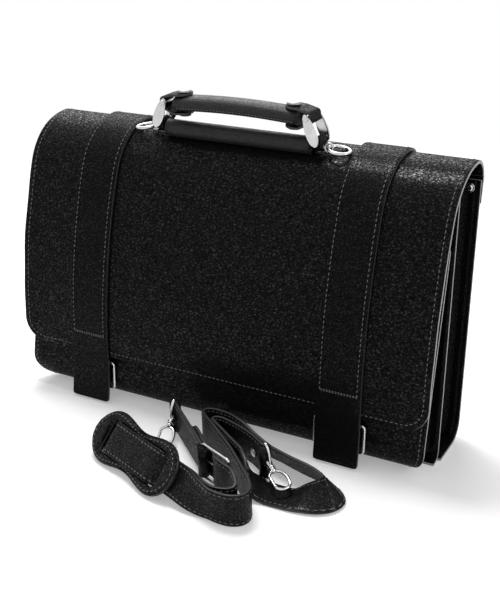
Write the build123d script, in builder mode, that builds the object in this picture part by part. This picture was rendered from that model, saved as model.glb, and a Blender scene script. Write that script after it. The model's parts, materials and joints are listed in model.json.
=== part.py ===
from build123d import *
import math
import os

# A leather flap-over briefcase with a carry handle and a detached shoulder strap.
# Millimetres. X runs along the case, Y to its back, Z up.
# The origin is the middle of the base, on the surface that the case stands on.

os.makedirs("parts", exist_ok=True)

# Driving dimensions of the case
case_length = 394.0
case_depth = 87.0
case_height = 245.0
case_lean = 4.3
pocket_height = 188.0
panel_thickness = 2.4
back_corner_radius = 18.0
front_corner_radius = 24.0
front_foot_corner = 25.0
divider_corner_radius = 8.0
front_top_y = -1.0
divider_foot_y = -0.5
gusset_thickness = 1.4
gusset_flange = 8.0
gusset_fold = 22.0
board_thickness = 2.0
sewn_gap = 0.1
side_gap = 0.3

# Driving dimensions of the flap and its straps
flap_overhang = 3.0
flap_thickness = 3.0
flap_foot_z = 45.0
flap_front_inset = 2.5
flap_corner_radius = 22.0
ridge_radius = 18.0
roof_fall = 5.0
shoulder_radius = 53.0
shoulder_turn = 63.5
front_drop_reach = 34.0
hem_drop = 20.0
hinge_gap = 0.3
strap_width = 40.0
strap_thickness = 3.0
strap_centre_x = 124.0
strap_foot_z = 1.5
strap_foot_reach = 5.0

# Driving dimensions of the closures behind the strap ends
loop_wire = 2.4
loop_width_play = 1.0
loop_drop = 24.6
loop_bar_z = 38.0
loop_front_gap = 0.6
chape_width = 24.0
chape_thickness = 3.0
chape_length = 25.0
rivet_radius = 3.0

# Driving dimensions of the handle
handle_y = 24.0
roll_radius = 7.5
roll_lift = 5.8
roll_half = 69.0
rod_radius = 1.8
running_gap = 0.08
stirrup_foot_x = 75.0
stirrup_foot_rise = 5.6
stirrup_top_x = 67.5
stirrup_height = 18.4
stirrup_half = 10.9
plate_thickness = 1.4
bar_radius = 1.5
grip_half = 58.0
grip_width = 22.0
grip_thickness = 13.0
grip_arch = 2.4
tab_width = 19.0
tab_thickness = 2.0
tab_reach = 45.0
cap_x = 52.0
cap_radius = 6.0
core_half = 43.0
core_width = 12.0
core_thickness = 3.0
eye_x = 83.2
eye_inner = 2.2
eye_wire = 1.2
ring_wire = 1.5
ring_mean = 9.0
ring_tilt = 8.0

# Driving dimensions of the shoulder strap, which lies in front of the case
sling_width = 28.0
sling_thickness = 2.6
floor_gap = 0.5
layer_gap = 0.5
pad_x = -17.0
pad_y = -130.7
pad_heading = -21.0
pad_tilt = 50.0
pad_length = 108.0
pad_lobe_radius = 23.0
pad_waist = 38.0
pad_thickness = 3.0
slot_from_centre = 33.0
slot_length = 30.0
slot_width = 10.0
buckle_x = 38.2
buckle_y = -113.3
buckle_heading = -22.0
buckle_reach = 33.0
buckle_wire = 2.6
buckle_play = 0.6
prong_radius = 1.1
hook_wire = 1.6
hook_length = 20.0
hook_width = 15.0
hook_one_x = 82.5
hook_one_y = -91.2
hook_one_heading = -34.0
hook_one_fall = 18.0
hook_two_x = -20.0
hook_two_y = -63.5
hook_two_heading = -84.0
hook_two_fall = 35.0
eye_reach = 9.0
swivel_radius = 3.2
stem_radius = 1.4
gate_from = 8.0
gate_length = 10.0
gate_cut = 6.7

# Values worked out from the driving dimensions
lean = math.radians(case_lean)
body_half = case_length / 2
flap_half = body_half + flap_overhang
back_foot_y = case_depth / 2
front_foot_y = -case_depth / 2
hinge_z = case_height - ridge_radius * (1 + math.sin(lean))
hinge_y = back_foot_y + hinge_z * math.tan(lean) + flap_thickness / math.cos(lean)
hem_foot_z = hinge_z - hem_drop
back_top_z = hinge_z - hinge_gap
divider_height = case_height - 19.0
flap_foot_y = front_foot_y + flap_front_inset
front_slope = (front_top_y - front_foot_y) / pocket_height
rise = Vector(math.sin(lean), math.cos(lean))

roof_angle = math.radians(180 + roof_fall)
ridge_centre_y = hinge_y - ridge_radius * math.cos(lean)
ridge_centre_z = hinge_z + ridge_radius * math.sin(lean)
ridge_end_y = ridge_centre_y + ridge_radius * math.sin(roof_angle)
ridge_end_z = ridge_centre_z - ridge_radius * math.cos(roof_angle)
shoulder_end = roof_angle + math.radians(shoulder_turn)
shoulder_reach = shoulder_radius * (math.sin(roof_angle) - math.sin(shoulder_end))
roof_run = ridge_end_y - flap_foot_y - shoulder_reach - front_drop_reach
shoulder_y = ridge_end_y - roof_run - shoulder_radius * math.sin(roof_angle)
shoulder_z = ridge_end_z - roof_run * math.tan(math.radians(roof_fall))
shoulder_z = shoulder_z + shoulder_radius * math.cos(roof_angle)

flap_under_handle_z = shoulder_z + math.sqrt(shoulder_radius**2 - (handle_y - shoulder_y) ** 2)
pivot_z = flap_under_handle_z + roll_lift
stirrup_foot_z = pivot_z + stirrup_foot_rise
stirrup_top_z = stirrup_foot_z + stirrup_height
grip_z = stirrup_top_z - 1.4


def back_face(z):
    """Y of the back panel's outer face at a height."""
    return back_foot_y + z * math.tan(lean)


def back_inner(z):
    return back_face(z) - panel_thickness / math.cos(lean)


def divider_rear(z):
    return divider_foot_y + z * math.tan(lean)


def divider_front(z):
    return divider_rear(z) - panel_thickness / math.cos(lean)


def front_outer(z):
    """Y of the front panel's outer face above its rounded foot."""
    return front_foot_y + z * front_slope


def front_inner(z):
    return front_outer(z) + panel_thickness * math.sqrt(1 + front_slope**2)


def write(piece, name):
    piece.part.label = name
    export_step(piece.part, f"parts/{name}.step")


def flap_lines(foot_y, foot_z):
    """The flap's outer line, from its hinge over the ridge and shoulder to its foot."""
    ridge = JernArc((hinge_y, hinge_z), rise, ridge_radius, 90 + roof_fall + case_lean)
    roof = Line(ridge @ 1, (ridge @ 1) + (ridge % 1) * roof_run)
    shoulder = JernArc(roof @ 1, roof % 1, shoulder_radius, shoulder_turn)
    return TangentArc(shoulder @ 1, (foot_y, foot_z), tangent=shoulder % 1)


# Back panel: down the back and round under the case as the rear compartment's base
base_seam_y = divider_foot_y - 1.2
with BuildPart() as back_panel:
    with BuildSketch(Plane.YZ):
        with BuildLine():
            FilletPolyline(
                (back_face(back_top_z), back_top_z),
                (back_foot_y, 0),
                (base_seam_y, 0),
                radius=back_corner_radius,
            )
            offset(amount=panel_thickness, side=Side.RIGHT)
        make_face()
    extrude(amount=body_half, both=True)
write(back_panel, "back_panel")

# Base board: the stiffener that lies inside the rear compartment
board_back_y = back_inner(0) - back_corner_radius * 0.75
board_front_y = divider_rear(0) + 1.0
with BuildPart() as base_board:
    with BuildSketch(Plane.XY.offset(panel_thickness + sewn_gap)):
        with Locations((0, (board_back_y + board_front_y) / 2)):
            Rectangle(2 * (body_half - gusset_fold - 8), board_back_y - board_front_y)
    extrude(amount=board_thickness)
    fillet(base_board.edges().filter_by(Axis.Z), radius=4)
write(base_board, "base_board")

# Divider: front wall of the rear compartment, turned forward as the front compartment's base
front_seam_y = front_foot_y + front_corner_radius + 7.5
with BuildPart() as divider_panel:
    with BuildSketch(Plane.YZ):
        with BuildLine():
            FilletPolyline(
                (divider_rear(divider_height), divider_height),
                (divider_foot_y, 0),
                (front_seam_y + sewn_gap, 0),
                radius=divider_corner_radius,
            )
            offset(amount=panel_thickness, side=Side.RIGHT)
        make_face()
    extrude(amount=body_half, both=True)
write(divider_panel, "divider_panel")

# Front panel: the front pocket's outer wall, rounded under at its foot
with BuildPart() as front_panel:
    with BuildSketch(Plane.YZ):
        with BuildLine():
            FilletPolyline(
                (front_seam_y, 0),
                (front_foot_y, 0),
                (front_top_y, pocket_height),
                radius=front_corner_radius,
            )
            offset(amount=panel_thickness, side=Side.RIGHT)
        make_face()
    extrude(amount=body_half, both=True)
    with BuildSketch(Plane.XZ):
        with Locations((0, case_height / 2)):
            Rectangle(2 * body_half, case_height)
        fillet(vertices().group_by(Axis.Z)[0], radius=front_foot_corner)
    extrude(amount=2 * case_depth, both=True, mode=Mode.INTERSECT)
write(front_panel, "front_panel")


def gusset_points(side, rear_y, front_y):
    """A gusset's section: flanges on the two panels and a fold that points into the case."""
    edge = side * (body_half - 1)
    root = side * (body_half - 1 - gusset_flange)
    apex = side * (body_half - 1 - gusset_fold)
    middle = (rear_y + front_y) / 2
    step = side * gusset_thickness
    return [
        (edge, rear_y),
        (root, rear_y),
        (apex - step, middle),
        (root, front_y),
        (edge, front_y),
        (edge, front_y + gusset_thickness),
        (root + step / 2, front_y + gusset_thickness),
        (apex + step / 2, middle),
        (root + step / 2, rear_y - gusset_thickness),
        (edge, rear_y - gusset_thickness),
    ]


gusset_foot_z = panel_thickness + 1.6
rear_stations = [
    (gusset_foot_z, 8.8, 0.4),
    (back_corner_radius, 0, 0),
    (divider_height - 1, 0, 0),
]
front_bend = front_corner_radius - panel_thickness


def front_foot_inner(z):
    """Y of the front panel's inner face within its rounded foot."""
    drop = front_corner_radius - z
    return front_foot_tangent_y - math.sqrt(front_bend**2 - drop**2)


front_angle = math.atan2(pocket_height, front_top_y - front_foot_y)
front_foot_tangent_y = front_foot_y + front_corner_radius / math.tan(front_angle / 2)
front_stations = [
    (gusset_foot_z, front_foot_inner(gusset_foot_z) + 1.2, 3.2),
    (14.0, front_foot_inner(14.0) + 1.0, 0),
    (front_corner_radius + 2, front_foot_inner(front_corner_radius + 2) + 1.0, 0),
    (pocket_height - 3, front_inner(pocket_height - 3) + 0.4, 0),
]

for side, hand in ((-1, "left"), (1, "right")):
    with BuildPart() as rear_gusset:
        for z, back_inset, front_inset in rear_stations:
            rear_y = back_inner(z) - back_inset - sewn_gap
            front_y = divider_rear(z) + front_inset + sewn_gap
            with BuildSketch(Plane.XY.offset(z)):
                with BuildLine():
                    Polyline(*gusset_points(side, rear_y, front_y), close=True)
                make_face()
        loft(ruled=True)
    write(rear_gusset, f"rear_gusset_{hand}")

    with BuildPart() as front_gusset:
        for z, front_y, rear_inset in front_stations:
            rear_y = divider_front(z) - rear_inset - sewn_gap
            with BuildSketch(Plane.XY.offset(z)):
                with BuildLine():
                    Polyline(*gusset_points(side, rear_y, front_y), close=True)
                make_face()
        loft(ruled=True)
        with BuildSketch(Plane.XZ):
            with Locations((0, case_height / 2 + 1)):
                Rectangle(2 * body_half - 2, case_height)
            fillet(vertices().group_by(Axis.Z)[0], radius=front_foot_corner)
        extrude(amount=2 * case_depth, both=True, mode=Mode.INTERSECT)
    write(front_gusset, f"front_gusset_{hand}")

    # Press stud at the top of the rear gusset, on its back flange
    stud_z = divider_height - 6
    stud_x = side * (body_half - 5.5)
    stud_y = back_inner(stud_z) - sewn_gap - gusset_thickness
    with BuildPart() as gusset_stud:
        with BuildSketch(Plane.XZ.offset(-stud_y + 1.6)):
            with Locations((stud_x, stud_z)):
                Circle(4)
        extrude(amount=1.2)
        with BuildSketch(Plane.XZ.offset(-stud_y + 2.8)):
            with Locations((stud_x, stud_z)):
                Circle(2.6)
        extrude(amount=1.4)
        fillet(gusset_stud.faces().sort_by(Axis.Y)[0].edges(), radius=0.6)
    write(gusset_stud, f"gusset_stud_{hand}")

# Flap hem: the flap's rear edge, sewn on the outside of the back panel below the hinge
with BuildPart() as flap_hem:
    with BuildSketch(Plane.YZ):
        with BuildLine():
            hem_start = Vector(hinge_y, hinge_z) - rise * hinge_gap
            Line(hem_start, hem_start - rise * hem_drop)
            offset(amount=flap_thickness - sewn_gap, side=Side.RIGHT)
        make_face()
    extrude(amount=flap_half, both=True)
write(flap_hem, "flap_hem")

# Flap: one sheet from the hinge over the top of the case and down its front
with BuildPart() as flap_panel:
    with BuildSketch(Plane.YZ):
        with BuildLine():
            flap_lines(flap_foot_y, flap_foot_z)
            offset(amount=flap_thickness, side=Side.LEFT)
        make_face()
    extrude(amount=flap_half, both=True)
    with BuildSketch(Plane.XZ):
        with Locations((0, flap_foot_z - 1 + case_height / 2)):
            Rectangle(2 * flap_half, case_height)
        fillet(vertices().group_by(Axis.Z)[0], radius=flap_corner_radius)
    extrude(amount=2 * case_depth, both=True, mode=Mode.INTERSECT)
write(flap_panel, "flap_panel")

for side, hand in ((-1, "left"), (1, "right")):
    strap_x = side * strap_centre_x

    # Wide strap: sewn along the flap from the hinge, hanging free below the flap's edge
    with BuildPart() as strap:
        with BuildSketch(Plane.YZ.offset(strap_x)):
            with BuildLine():
                drop = flap_lines(flap_foot_y, flap_foot_z)
                strap_foot = (flap_foot_y - strap_foot_reach, strap_foot_z)
                TangentArc(drop @ 1, strap_foot, tangent=drop % 1)
                offset(amount=strap_thickness, side=Side.RIGHT)
            make_face()
        extrude(amount=strap_width / 2, both=True)
    write(strap, f"strap_{hand}")

    # The strap's short rear end, below the hinge on the hem
    with BuildPart() as strap_anchor:
        with BuildSketch(Plane.YZ.offset(strap_x)):
            with BuildLine():
                Line(hem_start, hem_start - rise * (hem_drop - 2))
                offset(amount=strap_thickness, side=Side.LEFT)
            make_face()
        extrude(amount=strap_width / 2, both=True)
    write(strap_anchor, f"strap_anchor_{hand}")

    # Closure chape: the folded leather tab that holds the tuck loop by its top bar
    loop_bar_y = front_foot_y + 5.3
    chape_top_z = loop_bar_z + chape_length
    chape_bend_z = flap_foot_z
    tail_gap = chape_thickness / 2 + side_gap
    with BuildPart() as closure_chape:
        with BuildSketch(Plane.YZ.offset(strap_x)):
            with BuildLine():
                Polyline(
                    (front_outer(chape_top_z) - tail_gap, chape_top_z),
                    (front_outer(chape_bend_z) - tail_gap, chape_bend_z),
                    (loop_bar_y, loop_bar_z),
                )
            trace(line_width=chape_thickness)
            with Locations((loop_bar_y, loop_bar_z)):
                Circle(loop_wire / 2 + 1.6)
                Circle(loop_wire / 2 + 2 * running_gap, mode=Mode.SUBTRACT)
        extrude(amount=chape_width / 2, both=True)
    write(closure_chape, f"closure_chape_{hand}")

    # Tuck loop: the rectangular metal frame that the strap end slips through
    bulge_y = front_foot_tangent_y - front_corner_radius
    loop_mid_y = bulge_y - loop_front_gap - loop_wire / 2
    loop_slope = (loop_bar_y - loop_mid_y) / (loop_bar_z - front_corner_radius)
    loop_up = Vector(0, loop_slope, 1).normalized()
    loop_plane = Plane(
        origin=(strap_x, loop_bar_y, loop_bar_z), x_dir=(1, 0, 0), z_dir=Vector(1, 0, 0).cross(loop_up)
    )
    loop_half = strap_width / 2 + loop_width_play + loop_wire / 2
    with BuildPart() as closure_loop:
        with BuildLine(loop_plane) as loop_path:
            FilletPolyline(
                (-loop_half, 0), (loop_half, 0), (loop_half, -loop_drop), (-loop_half, -loop_drop),
                radius=3, close=True,
            )
        with BuildSketch(Plane(origin=(strap_x, loop_bar_y, loop_bar_z), z_dir=(1, 0, 0))):
            Circle(loop_wire / 2)
        sweep(path=loop_path.wires()[0])
    write(closure_loop, f"closure_loop_{hand}")

# Chape rivets: two tubular rivets a side, through chape and front panel
with BuildPart() as chape_rivets:
    for side in (-1, 1):
        rivet_z = chape_top_z - 6
        rivet_y = front_outer(rivet_z) - tail_gap - chape_thickness / 2
        for shift in (-6, 6):
            centre = (side * strap_centre_x + shift, rivet_y - side_gap, rivet_z)
            tilt = Plane(origin=centre, x_dir=(1, 0, 0), z_dir=(0, -1, front_slope))
            with BuildSketch(tilt):
                Circle(rivet_radius)
            extrude(amount=1.0)
write(chape_rivets, "chape_rivets")

# Handle roll: padded leather roll sewn on the flap, with a steel rod inside
with BuildPart() as handle_roll:
    with BuildSketch(Plane.YZ):
        with Locations((handle_y, pivot_z)):
            Circle(roll_radius)
            Circle(rod_radius + sewn_gap, mode=Mode.SUBTRACT)
        with Locations((shoulder_y, shoulder_z)):
            Circle(shoulder_radius + sewn_gap, mode=Mode.SUBTRACT)
    extrude(amount=roll_half, both=True)
write(handle_roll, "handle_roll")

# Roll rod: a straight rod, its two ends bent to eyes for the strap rings
with BuildPart() as roll_rod:
    with BuildSketch(Plane.YZ):
        with Locations((handle_y, pivot_z)):
            Circle(rod_radius)
    extrude(amount=eye_x - eye_inner - eye_wire, both=True)
    for side in (-1, 1):
        with BuildSketch(Plane(origin=(side * (eye_x + eye_inner + eye_wire), handle_y, pivot_z))):
            Circle(eye_wire)
        revolve(axis=Axis((side * eye_x, handle_y, pivot_z), (0, 1, 0)), revolution_arc=360)
write(roll_rod, "roll_rod")

for side, hand in ((-1, "left"), (1, "right")):
    # Strap ring: hangs in the rod's eye and lies on the flap
    tilt = math.radians(ring_tilt)
    ring_centre = (
        side * (eye_x + ring_mean * math.cos(tilt)),
        handle_y,
        pivot_z - ring_mean * math.sin(tilt),
    )
    ring_plane = Plane(origin=ring_centre, x_dir=(0, 1, 0), z_dir=(side * math.sin(tilt), 0, math.cos(tilt)))
    with BuildPart(ring_plane) as strap_ring:
        Torus(ring_mean, ring_wire)
    write(strap_ring, f"strap_ring_{hand}")

    # Roll loop: leather loop that turns on the rod and holds the stirrup's foot bar
    foot_x = side * stirrup_foot_x
    top_x = side * stirrup_top_x
    loop_inner_x = roll_half + side_gap
    loop_outer_x = eye_x - eye_inner - 2 * eye_wire - side_gap
    loop_middle_x = side * (loop_inner_x + loop_outer_x) / 2
    loop_length = loop_outer_x - loop_inner_x
    with BuildPart() as roll_loop:
        with BuildSketch(Plane.YZ.offset(loop_middle_x)):
            with Locations((handle_y, pivot_z)):
                Circle(rod_radius + 2)
        extrude(amount=loop_length / 2, both=True)
        with BuildSketch(Plane.XZ.offset(-handle_y)):
            with Locations((foot_x, stirrup_foot_z)):
                Circle(bar_radius + 2)
            with Locations((foot_x, (pivot_z + stirrup_foot_z) / 2)):
                Rectangle(2 * bar_radius + 4, stirrup_foot_rise)
        extrude(amount=stirrup_half - plate_thickness / 2 - 4, both=True)
        with BuildSketch(Plane.YZ.offset(loop_middle_x)):
            with Locations((handle_y, pivot_z)):
                Circle(rod_radius + running_gap)
        extrude(amount=loop_length, both=True, mode=Mode.SUBTRACT)
        with BuildSketch(Plane.XZ.offset(-handle_y)):
            with Locations((foot_x, stirrup_foot_z)):
                Circle(bar_radius + running_gap)
        extrude(amount=stirrup_half, both=True, mode=Mode.SUBTRACT)
    write(roll_loop, f"roll_loop_{hand}")

    # Stirrup: two plates joined by a foot bar
    with BuildPart() as stirrup:
        for reach in (-1, 1):
            plate_y = handle_y + reach * stirrup_half
            with BuildSketch(Plane.XZ.offset(-plate_y)):
                with Locations((foot_x, stirrup_foot_z)):
                    Circle(4.2)
                with Locations((top_x, stirrup_top_z)):
                    Circle(3.6)
                make_hull()
                with Locations((top_x, stirrup_top_z)):
                    Circle(bar_radius + running_gap, mode=Mode.SUBTRACT)
            extrude(amount=plate_thickness / 2, both=True)
        with BuildSketch(Plane.XZ.offset(-handle_y)):
            with Locations((foot_x, stirrup_foot_z)):
                Circle(bar_radius)
        extrude(amount=stirrup_half, both=True)
    write(stirrup, f"stirrup_{hand}")

    # Handle pin: riveted through the stirrup's plates and the handle tab's fold
    with BuildPart() as handle_pin:
        with BuildSketch(Plane.XZ.offset(-handle_y)):
            with Locations((top_x, stirrup_top_z)):
                Circle(bar_radius)
        extrude(amount=stirrup_half + plate_thickness / 2 + 1, both=True)
        for reach in (-1, 1):
            head_y = handle_y + reach * (stirrup_half + plate_thickness / 2 + 0.6)
            with BuildSketch(Plane.XZ.offset(-head_y)):
                with Locations((top_x, stirrup_top_z)):
                    Circle(bar_radius + 0.8)
            extrude(amount=0.45, both=True)
    write(handle_pin, f"handle_pin_{hand}")

    # Handle tab: leather folded round the pin, its upper leg capped on the grip
    upper_z = grip_z + grip_thickness / 2 + tab_thickness / 2 + 0.4
    lower_z = grip_z - grip_thickness / 2 - tab_thickness / 2 - 0.4
    with BuildPart() as handle_tab:
        with BuildSketch(Plane.XZ.offset(-handle_y)):
            with BuildLine():
                FilletPolyline(
                    (side * tab_reach, upper_z + 0.8),
                    (side * (grip_half + 1), upper_z),
                    (side * (stirrup_top_x + 3), stirrup_top_z + 3.6),
                    (side * (stirrup_top_x + 3), stirrup_top_z - 3.6),
                    (side * (grip_half + 1), lower_z),
                    (side * tab_reach, lower_z + 0.6),
                    radius=2.4,
                )
            trace(line_width=tab_thickness)
        extrude(amount=tab_width / 2, both=True)
        with BuildSketch(Plane.XY.offset(lower_z - 10)):
            with Locations((side * (tab_reach + 40), handle_y)):
                Rectangle(80, tab_width)
            ends = vertices().group_by(Axis.X)[0 if side > 0 else -1]
            fillet(ends, radius=tab_width / 2 - 0.1)
        extrude(amount=60, mode=Mode.INTERSECT)
        with BuildSketch(Plane.XY.offset(lower_z - 10)):
            with Locations((side * cap_x, handle_y)):
                Circle(2 + running_gap)
        extrude(amount=60, mode=Mode.SUBTRACT)
    write(handle_tab, f"handle_tab_{hand}")

    # Cap rivet: domed cap, shank through tab and grip, flat tail below
    cap_z = upper_z + tab_thickness / 2 + 1.0
    tail_z = lower_z - tab_thickness / 2 - 0.6
    with BuildPart() as cap_rivet:
        with BuildSketch(Plane.XY.offset(cap_z)):
            with Locations((side * cap_x, handle_y)):
                Circle(cap_radius)
        extrude(amount=2.0)
        fillet(cap_rivet.faces().sort_by(Axis.Z)[-1].edges(), radius=1.6)
        with BuildSketch(Plane.XY.offset(tail_z)):
            with Locations((side * cap_x, handle_y)):
                Circle(2)
        extrude(amount=cap_z - tail_z + 0.5)
        with BuildSketch(Plane.XY.offset(tail_z - 1)):
            with Locations((side * cap_x, handle_y)):
                Circle(cap_radius - 1)
        extrude(amount=1.0)
    write(cap_rivet, f"cap_rivet_{hand}")

# Handle grip: rolled leather, slightly arched, hollow for its core
with BuildPart() as handle_grip:
    with BuildSketch(Plane.XZ.offset(-handle_y)):
        low_z = grip_z - grip_thickness / 2
        high_z = grip_z + grip_thickness / 2
        with BuildLine():
            ThreePointArc((-grip_half, low_z), (0, low_z + grip_arch), (grip_half, low_z))
            Line((grip_half, low_z), (grip_half, high_z))
            ThreePointArc((grip_half, high_z), (0, high_z + grip_arch), (-grip_half, high_z))
            Line((-grip_half, high_z), (-grip_half, low_z))
        make_face()
    extrude(amount=grip_width / 2, both=True)
    fillet(handle_grip.edges().filter_by(GeomType.CIRCLE), radius=5)
    with BuildSketch(Plane.XY.offset(low_z - 5)):
        for side in (-1, 1):
            with Locations((side * cap_x, handle_y)):
                Circle(2 + running_gap)
    extrude(amount=grip_thickness + 20, mode=Mode.SUBTRACT)
    core_z = grip_z + grip_arch * 0.8
    with BuildSketch(Plane.XY.offset(core_z - core_thickness / 2 - 0.2)):
        with Locations((0, handle_y)):
            Rectangle(2 * core_half + 0.4, core_width + 0.4)
    extrude(amount=core_thickness + 0.4, mode=Mode.SUBTRACT)
write(handle_grip, "handle_grip")

with BuildPart() as handle_core:
    with BuildSketch(Plane.XY.offset(core_z - core_thickness / 2)):
        with Locations((0, handle_y)):
            Rectangle(2 * core_half, core_width)
    extrude(amount=core_thickness)
write(handle_core, "handle_core")


def heading_vector(degrees):
    return Vector(math.cos(math.radians(degrees)), math.sin(math.radians(degrees)))


def ribbon_planes(stations):
    """Cross-section planes of a flat strap at stations of x, y, middle height and either
    its lean or its direction across."""
    points = [Vector(x, y, z) for x, y, z, turn in stations]
    last = len(points) - 1
    across = Vector(0, 0, 1)
    planes = []
    for i, (x, y, z, turn) in enumerate(stations):
        ahead = (points[min(i + 1, last)] - points[max(i - 1, 0)]).normalized()
        if isinstance(turn, Vector):
            wide = turn
        else:
            left = Vector(-ahead.Y, ahead.X, 0).normalized()
            angle = math.radians(turn)
            wide = Vector(0, 0, 1) * math.cos(angle) + left * math.sin(angle)
        if wide.dot(across) < 0:
            wide = wide * -1
        across = (wide - ahead * wide.dot(ahead)).normalized()
        planes.append(Plane(origin=points[i], x_dir=across, z_dir=ahead))
    return planes


# The pad leans back on its long lower edge; its face looks forward and up
pad_along = heading_vector(pad_heading)
pad_rise = math.radians(pad_tilt)
pad_across = Vector(
    -pad_along.Y * math.cos(pad_rise), pad_along.X * math.cos(pad_rise), math.sin(pad_rise)
)
pad_face = pad_along.cross(pad_across)
pad_z = floor_gap + pad_lobe_radius * math.sin(pad_rise) + pad_thickness / 2 * math.cos(pad_rise)


def pad_station(along, rise):
    """A station behind or over the pad, by its distance from the pad's middle."""
    spot = Vector(pad_x, pad_y, pad_z) + pad_along * along + pad_face * rise
    return (spot.X, spot.Y, spot.Z, pad_across)


# Buckle: its left bar is held in the buckle strap's fold, its right bar is free
buckle_along = heading_vector(buckle_heading)
buckle_behind = Vector(-buckle_along.Y, buckle_along.X)
buckle_foot = Vector(buckle_x, buckle_y)


def buckle_station(along, behind, z):
    spot = buckle_foot + buckle_along * along + buckle_behind * behind
    return (spot.X, spot.Y, z, 0)


# Heights of the strap's middle: standing on edge, held up by the buckle, lying flat.
# Over the pad and in the two layers behind it, distances from the pad's middle
stand = sling_width / 2 + floor_gap
held = floor_gap + buckle_wire + buckle_play + sling_width / 2
flat = floor_gap + sling_thickness / 2
over = pad_thickness / 2 + layer_gap + sling_thickness / 2
under = -over
hindmost = under - sling_thickness - layer_gap
slot = slot_from_centre

behind_pad = pad_station(58, hindmost)
outer_left_turn = (6.5, -61, stand, 0)
sling_route = [
    # Tail, behind the buckle strap, then through the buckle to the front of its right bar
    (10, -84.2, held, 0),
    (25, -96.6, held, 0),
    buckle_station(-6, 5, held),
    buckle_station(3, 4.4, held),
    buckle_station(10, 3.2, held),
    buckle_station(15, 0, held),
    buckle_station(20, -2.9, held),
    buckle_station(27, -3.6, held),
    buckle_station(33, -3.6, held),
    buckle_station(41, -3.8, held),
    # Inner right-hand turn and inner front run
    (81, -138, 16.5, 0),
    (85.5, -143.5, 15.5, 0),
    (85.5, -149.2, stand, 0),
    (80, -153.8, stand, 0),
    (71, -155.2, stand, 0),
    (60, -153.9, 14.6, -10),
    (50, -151, 15.2, -25),
    # Behind the pad to its left lobe, then the fold there
    behind_pad,
    pad_station(30, hindmost),
    pad_station(0, hindmost),
    pad_station(-30, hindmost),
    pad_station(-44, hindmost),
    pad_station(-46, (hindmost + under) / 2),
    pad_station(-44, under),
    # Out through the left slot, over the pad and back in through the right one
    pad_station(-slot - 7, under),
    pad_station(-slot - 3.2, under + 0.5),
    pad_station(-slot, 0),
    pad_station(3.2 - slot, over - 0.5),
    pad_station(8 - slot, over),
    pad_station(0, over),
    pad_station(slot - 8, over),
    pad_station(slot - 3.2, over - 0.5),
    pad_station(slot, 0),
    pad_station(slot + 3.2, under + 0.5),
    pad_station(slot + 7, under),
    pad_station(58, under),
    # Outer front run and outer right-hand turn
    (50, -154.6, 16.3, 25),
    (60, -157.6, 15.2, 12),
    (70, -159.4, stand, 0),
    (79, -160.6, stand, 0),
    (88, -160, stand, 0),
    (95.5, -156, stand, 0),
    (98.5, -149, stand, 0),
    (96.5, -141, stand, 0),
    (89, -131.5, stand, 0),
    (76, -119, stand, 0),
    (56, -100.5, stand, 0),
    (38, -86, stand, 0),
    (22, -73.5, stand, 0),
    # Outer left-hand turn and the run behind the hook's strap
    (12, -66.5, stand, 0),
    outer_left_turn,
    (7.5, -55.5, stand, 0),
    (15, -53, stand, 0),
    (30, -54.5, stand, 0),
    (46, -58.5, 14.2, -10),
    (62, -63.5, 13.4, -25),
    (82, -71, 12.7, -35),
    (104, -78, 12.7, -35),
    (122, -82.5, 12.7, -35),
    # Right-hand turn, falling flat, then the run between the two standing ones
    (133, -85.6, 12.4, -38),
    (141.5, -90.5, 12.1, -40),
    (145.5, -97, 11.8, -42),
    (143.5, -103.3, 11.2, -46),
    (136.5, -107.6, 9.6, -55),
    (126, -109.3, 6.5, -70),
    (117, -109.8, 3.2, -84),
    (111, -110, flat, -90),
    (96, -110.5, flat, -90),
    (88, -111, 4.8, -103),
    (80, -105.6, 11.3, -135),
    (73, -102.5, 14, -162),
    (64, -97.5, stand, -180),
    (50, -88.5, stand, 0),
    (36, -79, stand, 0),
    (25, -71.8, stand, 0),
    # Inner left-hand turn and the strap end that holds the first hook
    (20.2, -68.2, stand, 0),
    (20, -64.9, stand, 0),
    (24.5, -62.8, stand, 0),
    (32, -64, stand, 0),
    (46, -69.5, 15.4, 0),
    (64, -79, held - 0.5, 0),
    (hook_one_x - 2.0, hook_one_y + 1.3, held, 0),
]
hook_one_foot = Vector(hook_one_x, hook_one_y)
hook_two_foot = Vector(hook_two_x, hook_two_y)
sling_planes = ribbon_planes(sling_route)
at_pad = sling_route.index(behind_pad)
at_turn = sling_route.index(outer_left_turn)
with BuildPart() as shoulder_strap:
    for first, last in ((0, at_pad), (at_pad, at_turn), (at_turn, len(sling_planes) - 1)):
        for station_plane in sling_planes[first : last + 1]:
            with BuildSketch(station_plane):
                Rectangle(sling_width, sling_thickness)
        loft(ruled=True)
    with BuildSketch(Plane.XY.offset(held - sling_width / 2 + 0.2)):
        with Locations(hook_one_foot):
            Circle(hook_wire + 1.7)
    extrude(amount=sling_width - 0.4)
    with BuildSketch(Plane.XY.offset(held - sling_width / 2 - 1)):
        with Locations(hook_one_foot):
            Circle(hook_wire + 2 * running_gap)
    extrude(amount=sling_width + 2, mode=Mode.SUBTRACT)
    prong_plane = Plane(
        origin=(buckle_x, buckle_y, held), x_dir=(buckle_along.X, buckle_along.Y, 0), z_dir=(0, 0, 1)
    )
    with BuildSketch(prong_plane.offset(-prong_radius - 0.6)):
        with Locations((8, 3)):
            Rectangle(21, 8)
    extrude(amount=2 * prong_radius + 1.2, mode=Mode.SUBTRACT)
write(shoulder_strap, "shoulder_strap")

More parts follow.
